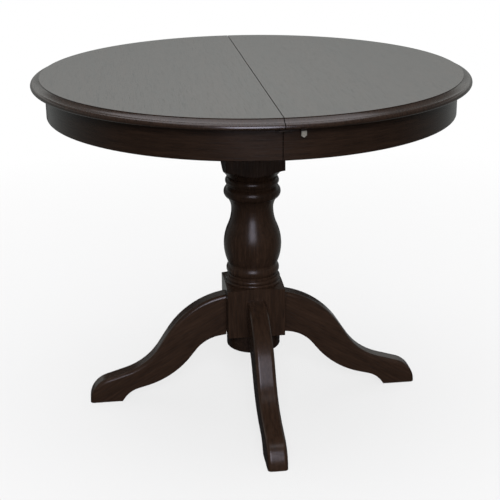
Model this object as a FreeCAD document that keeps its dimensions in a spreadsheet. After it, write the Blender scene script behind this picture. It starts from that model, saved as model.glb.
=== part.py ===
import FreeCAD, Part
import math
import os
import re
import Sketcher

# Extending round table on a turned pedestal with four curved legs.
# Millimetres, +Z up, origin on the floor under the column. The top opens along X, its split lies
# along Y with the front at -Y, and everything of the left half is the right half's twin, turned
# half a turn about Z.

Vector = FreeCAD.Vector
doc = FreeCAD.newDocument("round_table")

# Driving dimensions: name, millimetres (or a count, or degrees), meaning
SIZES = [
    ("top_diameter", 915, "round top across"),
    ("table_height", 745, "floor to table surface"),
    ("top_thickness", 18, "board of the top and of the leaf"),
    ("split_gap", 1.6, "gap between the two halves"),
    ("edge_band", 18, "plan width of the moulded edge"),
    ("edge_step", 2, "small upright step at the inner side of the moulding"),
    ("edge_fall", 7.5, "depth below the surface where the slope meets the nose"),
    ("edge_cove", 26, "radius of the hollow slope"),
    ("nose_out", 7, "plan width of the rounded nose"),
    ("nose_under", 4, "radius under the nose"),
    ("top_overhang", 28.5, "top past the outer face of the apron"),
    ("apron_thickness", 18, "apron wall"),
    ("apron_height", 63, "apron below the top"),
    ("apron_round", 2, "eased lower edges of the apron"),
    ("half_travel", 152.5, "travel of each half, half the width of the leaf"),
    ("block_side", 127, "square stock of the column"),
    ("block_ease", 1.5, "eased upright edges of the square blocks"),
    ("column_clearance", 118, "floor to the underside of the cap"),
    ("boss_diameter", 120, "round cap under the column, which closes the hollow block"),
    ("boss_height", 42, "height of the cap"),
    ("boss_round", 5, "rounded lower edge of the cap"),
    ("lower_block", 109, "height of the lower square block at its corners"),
    ("shoulder_rise", 4.5, "rise of the lower block's shoulder from its corners to its faces"),
    ("shoulder_cove", 4.5, "height of the hollow over the lower shoulder"),
    ("cove_sag", 2.1, "depth of that hollow"),
    ("foot_bead", 11, "height of the bead over the lower block"),
    ("foot_bead_radius", 57, "column radius at the ends of that bead"),
    ("foot_bead_bulge", 3.5, "how far that bead stands out"),
    ("foot_neck", 5, "height of the fillet between the two lower beads"),
    ("foot_neck_radius", 55, "column radius at that fillet"),
    ("vase_bead", 20, "height of the bead under the vase"),
    ("vase_bead_bulge", 3.6, "how far that bead stands out"),
    ("vase_quirk", 4, "height of the groove under the vase"),
    ("vase_foot_radius", 54.8, "vase radius at its foot"),
    ("belly_height", 85, "height of the round belly of the vase"),
    ("belly_bulge", 8.8, "how far the belly stands out"),
    ("vase_fall", 40, "height from belly to the narrowest point"),
    ("neck_hollow", 8.8, "narrowest point of the vase inside its foot's radius"),
    ("vase_flare", 24, "height of the flare over the narrowest point"),
    ("flare_out", 8, "how far the flare opens over the narrowest point"),
    ("ring_height", 27, "height of the large ring"),
    ("ring_bulge", 8.3, "how far the ring stands out"),
    ("ring_quirk", 3, "groove over the ring"),
    ("top_bead", 16.5, "height of the bead over the ring"),
    ("top_bead_radius", 54.6, "column radius at the ends of that bead"),
    ("top_bead_bulge", 4, "how far that bead stands out"),
    ("top_cove", 26.5, "height of the hollow from that bead to the corners of the upper block"),
    ("top_cove_radius", 50, "radius of that hollow"),
    ("top_cove_foot", 53.2, "column radius at the foot of that hollow"),
    ("core_side", 50, "square hollow inside the lower block"),
    ("core_depth", 80, "depth of that hollow"),
    ("leg_width", 42, "width of a leg"),
    ("leg_edge_round", 8, "rounding along the upper edges of a leg"),
    ("root_drop", 8, "lower end of a leg's joint face below the block's foot, beside the cap"),
    ("root_height", 94, "height of a leg's joint face"),
    ("knee_out", 150, "where the two upper slopes of the knee would meet, from the axis"),
    ("knee_drop", 17, "the same, below the top of the joint face"),
    ("knee_round", 190, "radius of the knee"),
    ("ankle_back", 130.5, "where the slopes of the ankle would meet, from the toe"),
    ("ankle_up", 84.6, "the same, above the floor"),
    ("ankle_round", 140, "radius of the ankle"),
    ("toe_out", 374.5, "reach of a foot from the axis"),
    ("toe_up", 45, "height where the upper slope would meet the toe's front"),
    ("toe_round", 54, "radius of the toe"),
    ("foot_length", 72.5, "heel to toe"),
    ("instep_back", 87.5, "corner of the instep from the toe"),
    ("instep_up", 26, "the same, above the floor"),
    ("instep_round", 60, "radius of the instep"),
    ("arch_back", 190.5, "lower corner of the arch from the toe"),
    ("arch_up", 53.3, "the same, above the floor"),
    ("arch_round", 190, "radius of the arch"),
    ("brace_out", 112, "corner under the root from the axis"),
    ("brace_drop", 7, "the same, below the foot of the joint face"),
    ("brace_round", 85, "radius under the root"),
    ("glide_diameter", 22, "foot glide"),
    ("glide_thickness", 2, "how far a glide lifts its foot"),
    ("glide_back", 36.5, "glide from the toe"),
    ("glide_nail", 3, "nail of a glide"),
    ("glide_nail_length", 12, "nail above the glide"),
    ("fit_clearance", 0.15, "gap around fasteners, dowels and pins in their holes"),
    ("dowel_diameter", 10, "leg dowels"),
    ("dowel_length", 50, "half of it in the leg, half in the column"),
    ("dowel_inset", 21, "dowels from the ends of the joint face"),
    ("bolt_diameter", 8, "leg bolts"),
    ("bolt_in_leg", 46, "thread in the leg"),
    ("bolt_tail", 11, "thread inside the hollow"),
    ("nut_across", 13, "nut across its flats"),
    ("nut_height", 6.5, "nut along the bolt"),
    ("washer_diameter", 18, "washer"),
    ("washer_thickness", 1.6, "washer"),
    ("plate_side", 240, "square pedestal plate"),
    ("plate_thickness", 16, "pedestal plate"),
    ("column_screw_spread", 66, "screws from plate and cap to column, square pattern"),
    ("column_screw_diameter", 8, "those screws"),
    ("column_screw_length", 90, "those screws"),
    ("column_screw_head", 15, "countersunk heads of those screws"),
    ("bearer_width", 60, "bearers along X"),
    ("bearer_thickness", 20, "bearers"),
    ("bearer_past", 4, "bearers past the outer rails"),
    ("bearer_spacing", 150, "between the middles of the bearers"),
    ("plate_screw_spread", 170, "screws from plate to bearers, along Y"),
    ("recess_reach", 0.3, "arms of the cross recess in a screw head, as a share of the head"),
    ("recess_width", 0.07, "half width of those arms, as a share of the head"),
    ("recess_depth", 0.8, "depth of that recess, as a share of the countersink"),
    ("board_screw_diameter", 5, "screws between boards"),
    ("board_screw_head", 9.5, "countersunk heads of those screws"),
    ("board_screw_length", 30, "those screws"),
    ("fixed_rail_inset", 7, "fixed rail short of the moving rails' ends"),
    ("fixed_rail_drop", 5, "top of the fixed rail below the table top"),
    ("tongue_out", 6, "tongues of the fixed rail"),
    ("tongue_height", 8, "thickness of a tongue"),
    ("tongue_up", 18, "tongue above the foot of the fixed rail"),
    ("slide_clearance", 0.3, "gap around the tongues"),
    ("rail_gap", 0.5, "gap between fixed and moving rails"),
    ("rail_width", 21, "moving rails across"),
    ("rail_lift", 3, "moving rails above the bearers"),
    ("rail_end_gap", 8, "moving rail short of the apron"),
    ("rail_grip", 29.5, "moving rail past the middle when the top is open"),
    ("rail_relief", 1, "tail lowered to clear the other half"),
    ("rail_relief_start", 2.5, "start of the lowered tail, from the split"),
    ("gear_module", 2.5, "module of rack and pinion"),
    ("gear_teeth", 14, "teeth of a pinion"),
    ("gear_angle", 25, "pressure angle in degrees"),
    ("gear_backlash", 0.3, "play between the flanks"),
    ("gear_face", 10, "thickness of pinion and rack"),
    ("gear_lift", 4, "underside of the pinion above the foot of the fixed rail"),
    ("gear_side_gap", 0.4, "gap under and over the pinion and over the rack"),
    ("rack_back", 4, "rack behind its teeth"),
    ("rack_past", 20, "rack past the pinion when the top is open"),
    ("axle_diameter", 8, "axle of a pinion"),
    ("axle_running_gap", 0.05, "running gap in a pinion's bore"),
    ("axle_head", 15, "head under a pinion"),
    ("axle_head_height", 2.5, "the same, along the axle"),
    ("axle_depth", 16, "axle in the fixed rail over the pinion"),
    ("stop_pin_diameter", 6, "stop pins on the bearers"),
    ("stop_pin_high", 6, "stop pin above the foot of a moving rail"),
    ("stop_pin_deep", 10, "stop pin in its bearer"),
    ("stop_groove_deep", 8, "groove for a stop pin in a moving rail"),
    ("rail_screw_diameter", 4.5, "screws from the moving rails into the top"),
    ("rail_screw_head", 9, "heads of those screws"),
    ("rail_screw_length", 32, "those screws"),
    ("rail_screw_bite", 12, "those screws in the top"),
    ("rail_screw_first", 100, "first of those screws from the split"),
    ("rail_screw_last", 22, "last of those screws from the rail's end"),
    ("pin_diameter", 8, "alignment pins in the split edges"),
    ("pin_length", 38, "alignment pins"),
    ("pin_hole_depth", 22, "holes for the alignment pins"),
    ("pin_clearance", 0.25, "gap around the alignment pins"),
    ("pin_near_distance", 110, "inner alignment pins from the middle"),
    ("pin_rim_distance", 127.5, "outer alignment pins from the rim"),
    ("glue_block_depth", 22, "apron glue blocks, from the apron inwards"),
    ("glue_block_height", 30, "apron glue blocks"),
    ("glue_block_angle", 7, "width of a glue block in degrees"),
    ("glue_block_first_angle", 15, "first glue blocks from the X axis in degrees"),
    ("glue_block_second_angle", 66, "second glue blocks from the X axis in degrees"),
    ("leaf_gap", 0.5, "gap between the folded panels"),
    ("leaf_clearance", 3.5, "gap over the folded leaf"),
    ("leaf_side_gap", 9.25, "gap between the folded leaf and the rails beside it"),
    ("rest_thickness", 3, "felt rests under the folded leaf"),
    ("rest_width", 40, "felt rests along X"),
    ("rest_length", 400, "felt rests along Y"),
    ("hinge_spacing", 190, "between the leaf's hinges"),
    ("hinge_length", 50, "hinges along X"),
    ("hinge_leaf", 13, "height of a hinge plate"),
    ("hinge_plate", 2, "thickness of a hinge plate"),
    ("hinge_barrel", 5, "diameter of the knuckles"),
    ("hinge_pin", 2.4, "diameter of the hinge pins"),
    ("knuckle_length", 16, "middle knuckle"),
    ("knuckle_gap", 0.3, "gap around and between the knuckles"),
    ("hinge_screw_spread", 34, "between the screws of a hinge plate"),
    ("small_screw_diameter", 3, "screws of the hinges and locks"),
    ("small_screw_head", 5.6, "countersunk heads of those screws"),
    ("small_screw_length", 13, "those screws"),
    ("lock_out", 12, "lock pivot from the apron"),
    ("lock_pivot_in", 12, "lock pivot from the split plane"),
    ("lock_plate", 1.5, "thickness of lock plate and keeper"),
    ("lock_plate_width", 14, "width of lock plate and keeper"),
    ("lock_plate_length", 31, "lock plate along X"),
    ("lock_plate_inset", 2.5, "lock plate and keeper from the split plane"),
    ("keeper_length", 20, "keeper along X"),
    ("lock_reach", 20, "pivot to stud when latched"),
    ("stud_pass", 0.34, "stud past the open lever"),
    ("lever_thickness", 2, "lock lever"),
    ("lever_width", 9, "hook arm across"),
    ("lever_gap", 0.5, "gap between lever and plate, and over the pivot's head"),
    ("hook_wall", 3.5, "hook past the notch"),
    ("notch_clearance", 0.7, "gap on both sides of the stud in the notch"),
    ("stud_diameter", 4, "keeper stud"),
    ("pivot_diameter", 5, "lock pivot"),
    ("pivot_running_gap", 0.05, "running gap around the pivot"),
    ("pivot_head", 8, "head of the lock pivot"),
    ("pivot_head_height", 1.6, "the same, along the pivot"),
    ("tab_width", 10.5, "thumb tab"),
    ("tab_drop", 16, "thumb tab below the lever"),
    ("tab_point", 3.5, "pointed lower end of the thumb tab"),
    ("tab_thickness", 1.6, "thumb tab"),
    ("tab_reach", 25, "middle of the thumb tab from the pivot"),
]

# Levels and places that follow from the driving dimensions
TOP_RADIUS = "(top_diameter / 2)"
APRON_RADIUS = f"({TOP_RADIUS} - top_overhang)"
APRON_INNER = f"({APRON_RADIUS} - apron_thickness)"
UNDERSIDE = "(table_height - top_thickness)"
APRON_BOTTOM = f"({UNDERSIDE} - apron_height)"
LEAF_STACK = "(top_thickness * 2 + leaf_gap + rest_thickness + leaf_clearance)"
BEARER_TOP = f"({UNDERSIDE} - {LEAF_STACK})"
BEARER_BOTTOM = f"({BEARER_TOP} - bearer_thickness)"
COLUMN_TOP = f"({BEARER_BOTTOM} - plate_thickness)"
HALF_BLOCK = "(block_side / 2)"
BLOCK_CORNER = f"({HALF_BLOCK} * sqrt(2))"
HALF_CORE = "(core_side / 2)"
BLOCK_BOTTOM = "(column_clearance + boss_height)"
BLOCK_TOP = f"({BLOCK_BOTTOM} + lower_block)"
NECK_RADIUS = "(vase_foot_radius - neck_hollow)"
FLARE_RADIUS = f"({NECK_RADIUS} + flare_out)"
ROOT_LOW = f"({BLOCK_BOTTOM} - root_drop)"
ROOT_HIGH = f"({ROOT_LOW} + root_height)"
BOLT_LEVEL = f"(({ROOT_LOW} + {ROOT_HIGH}) / 2)"
LOW_DOWEL = f"({ROOT_LOW} + dowel_inset)"
HIGH_DOWEL = f"({ROOT_HIGH} - dowel_inset)"
GLIDE_OUT = "(toe_out - glide_back)"
PITCH_RADIUS = "(gear_module * gear_teeth / 2)"
RACK_TIP = f"({PITCH_RADIUS} - gear_module)"
FIXED_HALF = f"({RACK_TIP} - rail_gap)"
RAIL_INNER = RACK_TIP
RAIL_OUTER = f"({RAIL_INNER} + rail_width)"
UNIT_LINE = f"({TOP_RADIUS} / 2 + leaf_side_gap + {RAIL_OUTER})"
UNIT_OUTER = f"({UNIT_LINE} + {RAIL_OUTER})"
RAIL_REACH = f"(sqrt({APRON_INNER} * {APRON_INNER} - {UNIT_OUTER} * {UNIT_OUTER}) - rail_end_gap)"
RAIL_TAIL = "(half_travel + rail_grip)"
RAIL_BOTTOM = f"({BEARER_TOP} + rail_lift)"
RAIL_SCREW_SEAT = f"({UNDERSIDE} - rail_screw_length + rail_screw_bite)"
TONGUE_BOTTOM = f"({BEARER_TOP} + tongue_up)"
TONGUE_TOP = f"({TONGUE_BOTTOM} + tongue_height)"
RACK_ROOT = f"({PITCH_RADIUS} + gear_module * 1.25)"
RACK_BACK = f"({RACK_ROOT} + rack_back)"
GEAR_BOTTOM = f"({BEARER_TOP} + gear_lift)"
GEAR_TOP = f"({GEAR_BOTTOM} + gear_face)"
TOOTH_PITCH = "(gear_module * pi)"
RACK_LEAD = 3
RACK_TEETH = f"(ceil((half_travel + rack_past) / {TOOTH_PITCH}) + {RACK_LEAD})"
STOP_LINE = f"(({RACK_BACK} + {RAIL_OUTER}) / 2)"
BEARER_MIDDLE = "(bearer_spacing / 2)"
PIN_NEAR = "pin_near_distance"
PIN_FAR = f"({TOP_RADIUS} - pin_rim_distance)"
PIN_LEVEL = "(table_height - top_thickness / 2)"
LEAF_WIDTH = "(half_travel * 2)"
LEAF_LENGTH = f"{TOP_RADIUS}"
LEAF_BOTTOM = f"({BEARER_TOP} + rest_thickness)"
LEAF_MIDDLE = f"({LEAF_BOTTOM} + top_thickness + leaf_gap / 2)"
FOLD_EDGE = f"(0 - {LEAF_LENGTH} / 2)"
LOCK_BOTTOM = f"({UNDERSIDE} - lock_plate)"
LEVER_TOP = f"({LOCK_BOTTOM} - lever_gap)"
LEVER_BOTTOM = f"({LEVER_TOP} - lever_thickness)"
STUD_IN = "(lock_pivot_in - lock_reach)"
LOCK_LINE = f"({APRON_RADIUS} + lock_out)"
LOCK_SWING = "asin((lever_width / 2 + stud_diameter / 2 + stud_pass) / lock_reach)"

SAME_PLACE = 0.01

UP = (Vector(0, 0, 1), 0)
DOWN = (Vector(1, 0, 0), 180)
ALONG_X = (Vector(0, 1, 0), 90)
AGAINST_X = (Vector(0, 1, 0), -90)
ALONG_Y = (Vector(1, 0, 0), -90)
AGAINST_Y = (Vector(1, 0, 0), 90)
HALF_TURN = (Vector(0, 0, 1), 180)
ORIGIN = ("0", "0", "0")


# Sheet and small makers

def write_sheet():
    """Write the driving dimensions to the document's sheet, one row each."""
    sheet = doc.addObject("Spreadsheet::Sheet", "Sizes")
    for row, (name, number, meaning) in enumerate(SIZES, start=1):
        sheet.set(f"A{row}", name)
        sheet.set(f"B{row}", str(number))
        sheet.set(f"C{row}", meaning)
        sheet.setAlias(f"B{row}", name)
    doc.recompute()
    return sheet


sizes = write_sheet()
NAMES = {name for name, number, meaning in SIZES}
sub_parts = []


def bound(expression):
    """Turn an expression in plain size names into one that reads the sheet's cells."""
    return re.sub(r"[a-z_]+", lambda m: "Sizes." + m[0] if m[0] in NAMES else m[0], expression)


def value(expression):
    """Number that an expression in size names has now."""
    return float(sizes.evalExpression(expression))


def bind(item, **properties):
    """Tie properties of an object to the sheet; a double underscore stands for a dot."""
    for name, expression in properties.items():
        item.setExpression(name.replace("__", "."), bound(expression))
    return item


def place(item, at=ORIGIN, turn=UP):
    """Set an object's turn and tie its position to the sheet."""
    axis, degrees = turn
    item.Placement = FreeCAD.Placement(Vector(), FreeCAD.Rotation(axis, degrees))
    return bind(item, Placement__Base__x=at[0], Placement__Base__y=at[1], Placement__Base__z=at[2])


def keep(item, label):
    """Name an object as a sub-part that is written to its own file."""
    item.Label = label
    sub_parts.append(item)
    return item


def box(name, x, y, z):
    """Box between two expressions along each axis."""
    item = doc.addObject("Part::Box", name)
    spans = [f"({high}) - ({low})" for low, high in (x, y, z)]
    bind(item, Length=spans[0], Width=spans[1], Height=spans[2])
    return place(item, (x[0], y[0], z[0]))


def rod(name, radius, length, at=ORIGIN, turn=UP):
    """Cylinder that starts at a point and runs the way the turn gives."""
    item = doc.addObject("Part::Cylinder", name)
    bind(item, Radius=radius, Height=length)
    return place(item, at, turn)


def joined(name, *items):
    """One solid from touching or crossing solids."""
    item = doc.addObject("Part::MultiFuse", name)
    item.Shapes = list(items)
    return item


def bundle(name, items):
    """Several objects held together without joining them."""
    item = doc.addObject("Part::Compound", name)
    item.Links = list(items)
    return item


def cut(name, base, tools):
    """Solid with a list of tools taken out of it."""
    item = doc.addObject("Part::Cut", name)
    item.Base = base
    item.Tool = bundle(name + "_tools", tools)
    return item


def copies(label, master, spots):
    """Group of separate copies of one master, each at (position, turn)."""
    links = []
    for number, (at, turn) in enumerate(spots):
        link = doc.addObject("App::Link", f"{label}_{number}")
        link.LinkedObject = master
        links.append(place(link, at, turn))
    return keep(bundle(label + "_group", links), label)


def twin(label, original, turn=HALF_TURN, at=ORIGIN):
    """The same piece again, turned and moved to its other place."""
    return keep(place(bundle(label + "_twin", [original]), at, turn), label)


def plane(body, role):
    """Origin plane of a body."""
    return next(item for item in body.Origin.OriginFeatures if item.Role == role)


def arc_between(begin, finish, radius, side):
    """Arc shorter than a half circle with its centre left or right of the way from begin to finish."""
    chord = finish - begin
    across = Vector(-chord.y, chord.x, 0).normalize()
    height = math.sqrt(radius ** 2 - (chord.Length / 2) ** 2)
    leftward = 1 if side == "left" else -1
    centre = (begin + finish) / 2 + across * height * leftward
    circle = Part.Circle(centre, Vector(0, 0, 1), radius)
    angles = [math.atan2(point.y - centre.y, point.x - centre.x) for point in (begin, finish)]
    if side == "left":
        return Part.ArcOfCircle(circle, angles[0], angles[1]), (1, 2)
    return Part.ArcOfCircle(circle, angles[1], angles[0]), (2, 1)


def draw(body, name, role, corners, offset="0"):
    """Closed sketch through corners (x, y), or (x, y, radius, side) where an arc arrives there."""
    sketch = body.newObject("Sketcher::SketchObject", name)
    sketch.AttachmentSupport = (plane(body, role), "")
    sketch.MapMode = "FlatFace"
    bind(sketch, AttachmentOffset__Base__z=offset)
    points = [Vector(value(corner[0]), value(corner[1]), 0) for corner in corners]
    pieces = []
    for index, corner in enumerate(corners):
        begin, finish = points[index - 1], points[index]
        if len(corner) == 2:
            geometry, ends = Part.LineSegment(begin, finish), (1, 2)
        else:
            geometry, ends = arc_between(begin, finish, value(corner[2]), corner[3])
        pieces.append((sketch.addGeometry(geometry, False), ends))
    for index, corner in enumerate(corners):
        piece, ends = pieces[index]
        following, next_ends = pieces[(index + 1) % len(corners)]
        sketch.addConstraint(Sketcher.Constraint("Coincident", piece, ends[1], following, next_ends[0]))
        tie_point(sketch, piece, ends[1], corner, points[index])
        if len(corner) > 2:
            radius = sketch.addConstraint(Sketcher.Constraint("Radius", piece, value(corner[2])))
            sketch.setExpression(f"Constraints[{radius}]", bound(corner[2]))
    return sketch


def tie_point(sketch, piece, end, corner, point):
    """Tie one corner of a sketch to the sheet, or to an axis where it lies on one."""
    vertical_axis, horizontal_axis = -2, -1
    for kind, expression, number, axis in (
        ("DistanceX", corner[0], point.x, vertical_axis),
        ("DistanceY", corner[1], point.y, horizontal_axis),
    ):
        if expression == "0":
            sketch.addConstraint(Sketcher.Constraint("PointOnObject", piece, end, axis))
            continue
        tie = sketch.addConstraint(Sketcher.Constraint(kind, -1, 1, piece, end, number))
        sketch.setExpression(f"Constraints[{tie}]", bound(expression))


def new_body(name):
    """Empty body for a piece that is shaped by sketches."""
    return doc.addObject("PartDesign::Body", name)


def pad(body, sketch, length, both_ways=False, reverse=False):
    """Extrude a sketch."""
    feature = body.newObject("PartDesign::Pad", sketch.Name + "_pad")
    feature.Profile = sketch
    feature.Midplane = both_ways
    feature.Reversed = reverse
    return bind(feature, Length=length)


def pocket(body, sketch, length, both_ways=False, reverse=False):
    """Cut a sketch into the body."""
    feature = body.newObject("PartDesign::Pocket", sketch.Name + "_pocket")
    feature.Profile = sketch
    feature.Midplane = both_ways
    feature.Reversed = reverse
    return bind(feature, Length=length)


def turned(body, sketch, angle="360", kind="Revolution"):
    """Turn a sketch about its upright axis, to add or to cut."""
    feature = body.newObject("PartDesign::" + kind, sketch.Name + "_turned")
    feature.Profile = sketch
    feature.ReferenceAxis = (sketch, ["V_Axis"])
    feature.Midplane = True
    return bind(feature, Angle=angle)


def bead_radius(height, bulge):
    """Radius of an arc of that height that stands out by the bulge."""
    return f"(({height}) * ({height}) / 4 + {bulge} * {bulge}) / (2 * {bulge})"


def leaving_radius(height, width):
    """Radius of an arc that starts upright and moves aside by the width over the height."""
    return f"(({height}) * ({height}) + ({width}) * ({width})) / (2 * ({width}))"


def hollow_radius(height, width):
    """Radius of a shallow hollow across a corner of that height and width."""
    chord = f"(({height}) * ({height}) + ({width}) * ({width}))"
    return f"({chord} / 4 + cove_sag * cove_sag) / (2 * cove_sag)"


def screw(name, diameter, head, length):
    """Countersunk wood screw with its head's face at the origin, pointing up."""
    body = new_body(name)
    sink = f"(({head} - {diameter}) / 2)"
    outline = [
        ("0", "0"),
        (f"{head} / 2", "0"),
        (f"{diameter} / 2", sink),
        (f"{diameter} / 2", f"{length} - {diameter}"),
        ("0", length),
    ]
    turned(body, draw(body, name + "_outline", "XZ_Plane", outline))
    long_arm, short_arm = f"{head} * recess_reach", f"{head} * recess_width"
    ways = [(long_arm, short_arm), (short_arm, short_arm), (short_arm, long_arm)]
    quarters = [("", "", 1), ("0 - ", "", -1), ("0 - ", "0 - ", 1), ("", "0 - ", -1)]
    cross = [(f"{across}{x}", f"{along}{y}") for across, along, way in quarters for x, y in ways[::way]]
    sketch = draw(body, name + "_recess", "XY_Plane", cross)
    pocket(body, sketch, f"{sink} * recess_depth", reverse=True)
    return body


def screw_hole(name, diameter, head, depth, at, turn):
    """Countersunk hole for a screw, with the fit's clearance all round."""
    hole = rod(name + "_hole", f"{diameter} / 2 + fit_clearance", f"{depth} + fit_clearance")
    sink = doc.addObject("Part::Cone", name + "_sink")
    bind(
        sink,
        Radius1=f"{head} / 2 + fit_clearance",
        Radius2=f"{diameter} / 2 + fit_clearance",
        Height=f"({head} - {diameter}) / 2",
    )
    return place(bundle(name, [joined(name + "_joined", hole, sink)]), at, turn)


def plain_hole(name, diameter, depth, at, turn):
    """Round hole for the shank of a fastener or for a dowel."""
    return rod(name, f"{diameter} / 2 + fit_clearance", f"{depth} + fit_clearance", at, turn)


# Column

def turned_profile():
    """Corners of what the lathe takes away between the two square blocks, from below upwards."""
    outside = "block_side"
    level = BLOCK_TOP
    corners = [(outside, level), (BLOCK_CORNER, level)]

    def rise(height):
        nonlocal level
        level = f"({level} + {height})"
        return level

    corners.append((HALF_BLOCK, rise("shoulder_rise")))
    cove = hollow_radius("shoulder_cove", f"{HALF_BLOCK} - foot_bead_radius")
    corners.append(("foot_bead_radius", rise("shoulder_cove"), cove, "right"))
    bead = bead_radius("foot_bead", "foot_bead_bulge")
    corners.append(("foot_bead_radius", rise("foot_bead"), bead, "left"))
    corners.append(("foot_neck_radius", level))
    corners.append(("foot_neck_radius", rise("foot_neck")))
    bead = bead_radius("vase_bead", "vase_bead_bulge")
    corners.append(("foot_neck_radius", rise("vase_bead"), bead, "left"))
    corners.append(("vase_foot_radius", rise("vase_quirk")))
    belly = bead_radius("belly_height", "belly_bulge")
    corners.append(("vase_foot_radius", rise("belly_height"), belly, "left"))
    fall = leaving_radius("vase_fall", "neck_hollow")
    corners.append((NECK_RADIUS, rise("vase_fall"), fall, "right"))
    flare = leaving_radius("vase_flare", "flare_out")
    corners.append((FLARE_RADIUS, rise("vase_flare"), flare, "right"))
    ring = bead_radius("ring_height", "ring_bulge")
    corners.append((FLARE_RADIUS, rise("ring_height"), ring, "left"))
    corners.append(("top_bead_radius", rise("ring_quirk")))
    bead = bead_radius("top_bead", "top_bead_bulge")
    corners.append(("top_bead_radius", rise("top_bead"), bead, "left"))
    corners.append(("top_cove_foot", level))
    corners.append((BLOCK_CORNER, rise("top_cove"), "top_cove_radius", "right"))
    corners.append((outside, level))
    return corners


def upright_edges(shape):
    """Names of the edges that run straight up."""
    names = []
    for number, edge in enumerate(shape.Edges, start=1):
        first, last = edge.Vertexes[0].Point, edge.Vertexes[-1].Point
        if abs(first.x - last.x) < SAME_PLACE and abs(first.y - last.y) < SAME_PLACE:
            names.append(f"Edge{number}")
    return names


def make_column():
    """Square post, turned between its blocks, hollowed below and drilled for legs, plate and cap."""
    body = new_body("column_body")
    half, minus_half = HALF_BLOCK, f"(0 - {HALF_BLOCK})"
    stock = [(minus_half, minus_half), (half, minus_half), (half, half), (minus_half, half)]
    section = draw(body, "column_stock", "XY_Plane", stock, BLOCK_BOTTOM)
    post = pad(body, section, f"{COLUMN_TOP} - {BLOCK_BOTTOM}")
    doc.recompute()
    ease = body.newObject("PartDesign::Fillet", "column_ease")
    ease.Base = (post, upright_edges(post.Shape))
    bind(ease, Radius="block_ease")
    turned(body, draw(body, "column_turning", "XZ_Plane", turned_profile()), kind="Groove")
    core, minus_core = HALF_CORE, f"(0 - {HALF_CORE})"
    hollow = [(minus_core, minus_core), (core, minus_core), (core, core), (minus_core, core)]
    pocket(body, draw(body, "column_core", "XY_Plane", hollow, BLOCK_BOTTOM), "core_depth", reverse=True)
    wall = f"{HALF_BLOCK} - {HALF_CORE}"
    drills = []
    for number in range(4):
        for name, diameter, depth, level in (
            ("bolt", "bolt_diameter", wall, BOLT_LEVEL),
            ("low_dowel", "dowel_diameter", "dowel_length / 2", LOW_DOWEL),
            ("high_dowel", "dowel_diameter", "dowel_length / 2", HIGH_DOWEL),
        ):
            drill = plain_hole(f"column_{name}_{number}", diameter, depth,
                               (HALF_BLOCK, "0", level), AGAINST_X)
            drills.append(turned_copy(drill, number))
    for number, (x, y) in enumerate(column_screw_spots()):
        drills.append(plain_hole(f"column_plate_hole_{number}", "column_screw_diameter",
                                 "column_screw_length - plate_thickness", (x, y, COLUMN_TOP), DOWN))
        drills.append(plain_hole(f"column_cap_hole_{number}", "column_screw_diameter",
                                 "column_screw_length - boss_height", (x, y, BLOCK_BOTTOM), UP))
    keep(cut("column_drilled", body, drills), "column")


def make_boss_cap():
    """Turned cap screwed on under the column, over the hollow with the leg nuts."""
    body = new_body("boss_cap_body")
    boss = "(boss_diameter / 2)"
    outline = [
        ("0", "column_clearance"),
        (f"{boss} - boss_round", "column_clearance"),
        (boss, "column_clearance + boss_round", "boss_round", "left"),
        (boss, BLOCK_BOTTOM),
        ("0", BLOCK_BOTTOM),
    ]
    turned(body, draw(body, "boss_cap_outline", "XZ_Plane", outline))
    holes = [
        screw_hole(f"boss_cap_hole_{number}", "column_screw_diameter", "column_screw_head", "boss_height",
                   (x, y, "column_clearance"), UP)
        for number, (x, y) in enumerate(column_screw_spots())
    ]
    keep(cut("boss_cap_drilled", body, holes), "boss_cap")


def turned_copy(item, quarter_turns):
    """An object swung round the column by quarter turns."""
    swing = (Vector(0, 0, 1), 90 * quarter_turns)
    return place(bundle(item.Name + "_swung", [item]), ORIGIN, swing)


def column_screw_spots():
    """Corners of the square of screws between plate and column."""
    reach = "(column_screw_spread / 2)"
    sides = ("0 -", "0 +")
    return [(f"{across} {reach}", f"{along} {reach}") for across in sides for along in sides]


# Legs and what fastens them

EDGE_SPARE = 0.02

def edge_at(shape, x, z):
    """Name of the crosswise edge at that place of a leg's side view."""
    for number, edge in enumerate(shape.Edges, start=1):
        ends = [vertex.Point for vertex in edge.Vertexes]
        if all(abs(end.x - x) < SAME_PLACE and abs(end.z - z) < SAME_PLACE for end in ends):
            return f"Edge{number}"
    raise ValueError("no such edge on the leg")


def upper_edges(shape, side):
    """Names of the long edges on a leg's two sides that face up or forward."""
    names = []
    probe = 0.5
    for number, edge in enumerate(shape.Edges, start=1):
        ends = [vertex.Point for vertex in edge.Vertexes]
        if any(abs(abs(end.y) - side) > SAME_PLACE for end in ends) or ends[0].y * ends[-1].y < 0:
            continue
        middle = edge.valueAt((edge.FirstParameter + edge.LastParameter) / 2)
        inward = -probe if middle.y > 0 else probe
        if not shape.isInside(middle + Vector(probe, inward, probe), 0.001, True):
            names.append(f"Edge{number}")
    return names


def room_for_rounds(places, rounds):
    """Share of each wanted radius that the straight runs beside its corner leave room for."""
    names = list(places)
    setback = {name: 0.0 for name in names}
    runs = []
    for index, name in enumerate(names):
        before, here, after = places[names[index - 1]], places[name], places[names[(index + 1) % len(names)]]
        runs.append((names[index - 1], name, (here - before).Length))
        if name in rounds:
            turn = (here - before).getAngle(after - here)
            setback[name] = value(rounds[name]) * math.tan(turn / 2)
    shares = {name: 1.0 for name in rounds}
    for first, second, length in runs:
        wanted = setback[first] + setback[second]
        room = length * (1 - EDGE_SPARE)
        for name in (first, second):
            if wanted > room and name in shares:
                shares[name] = min(shares[name], room / wanted)
    return shares


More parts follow.
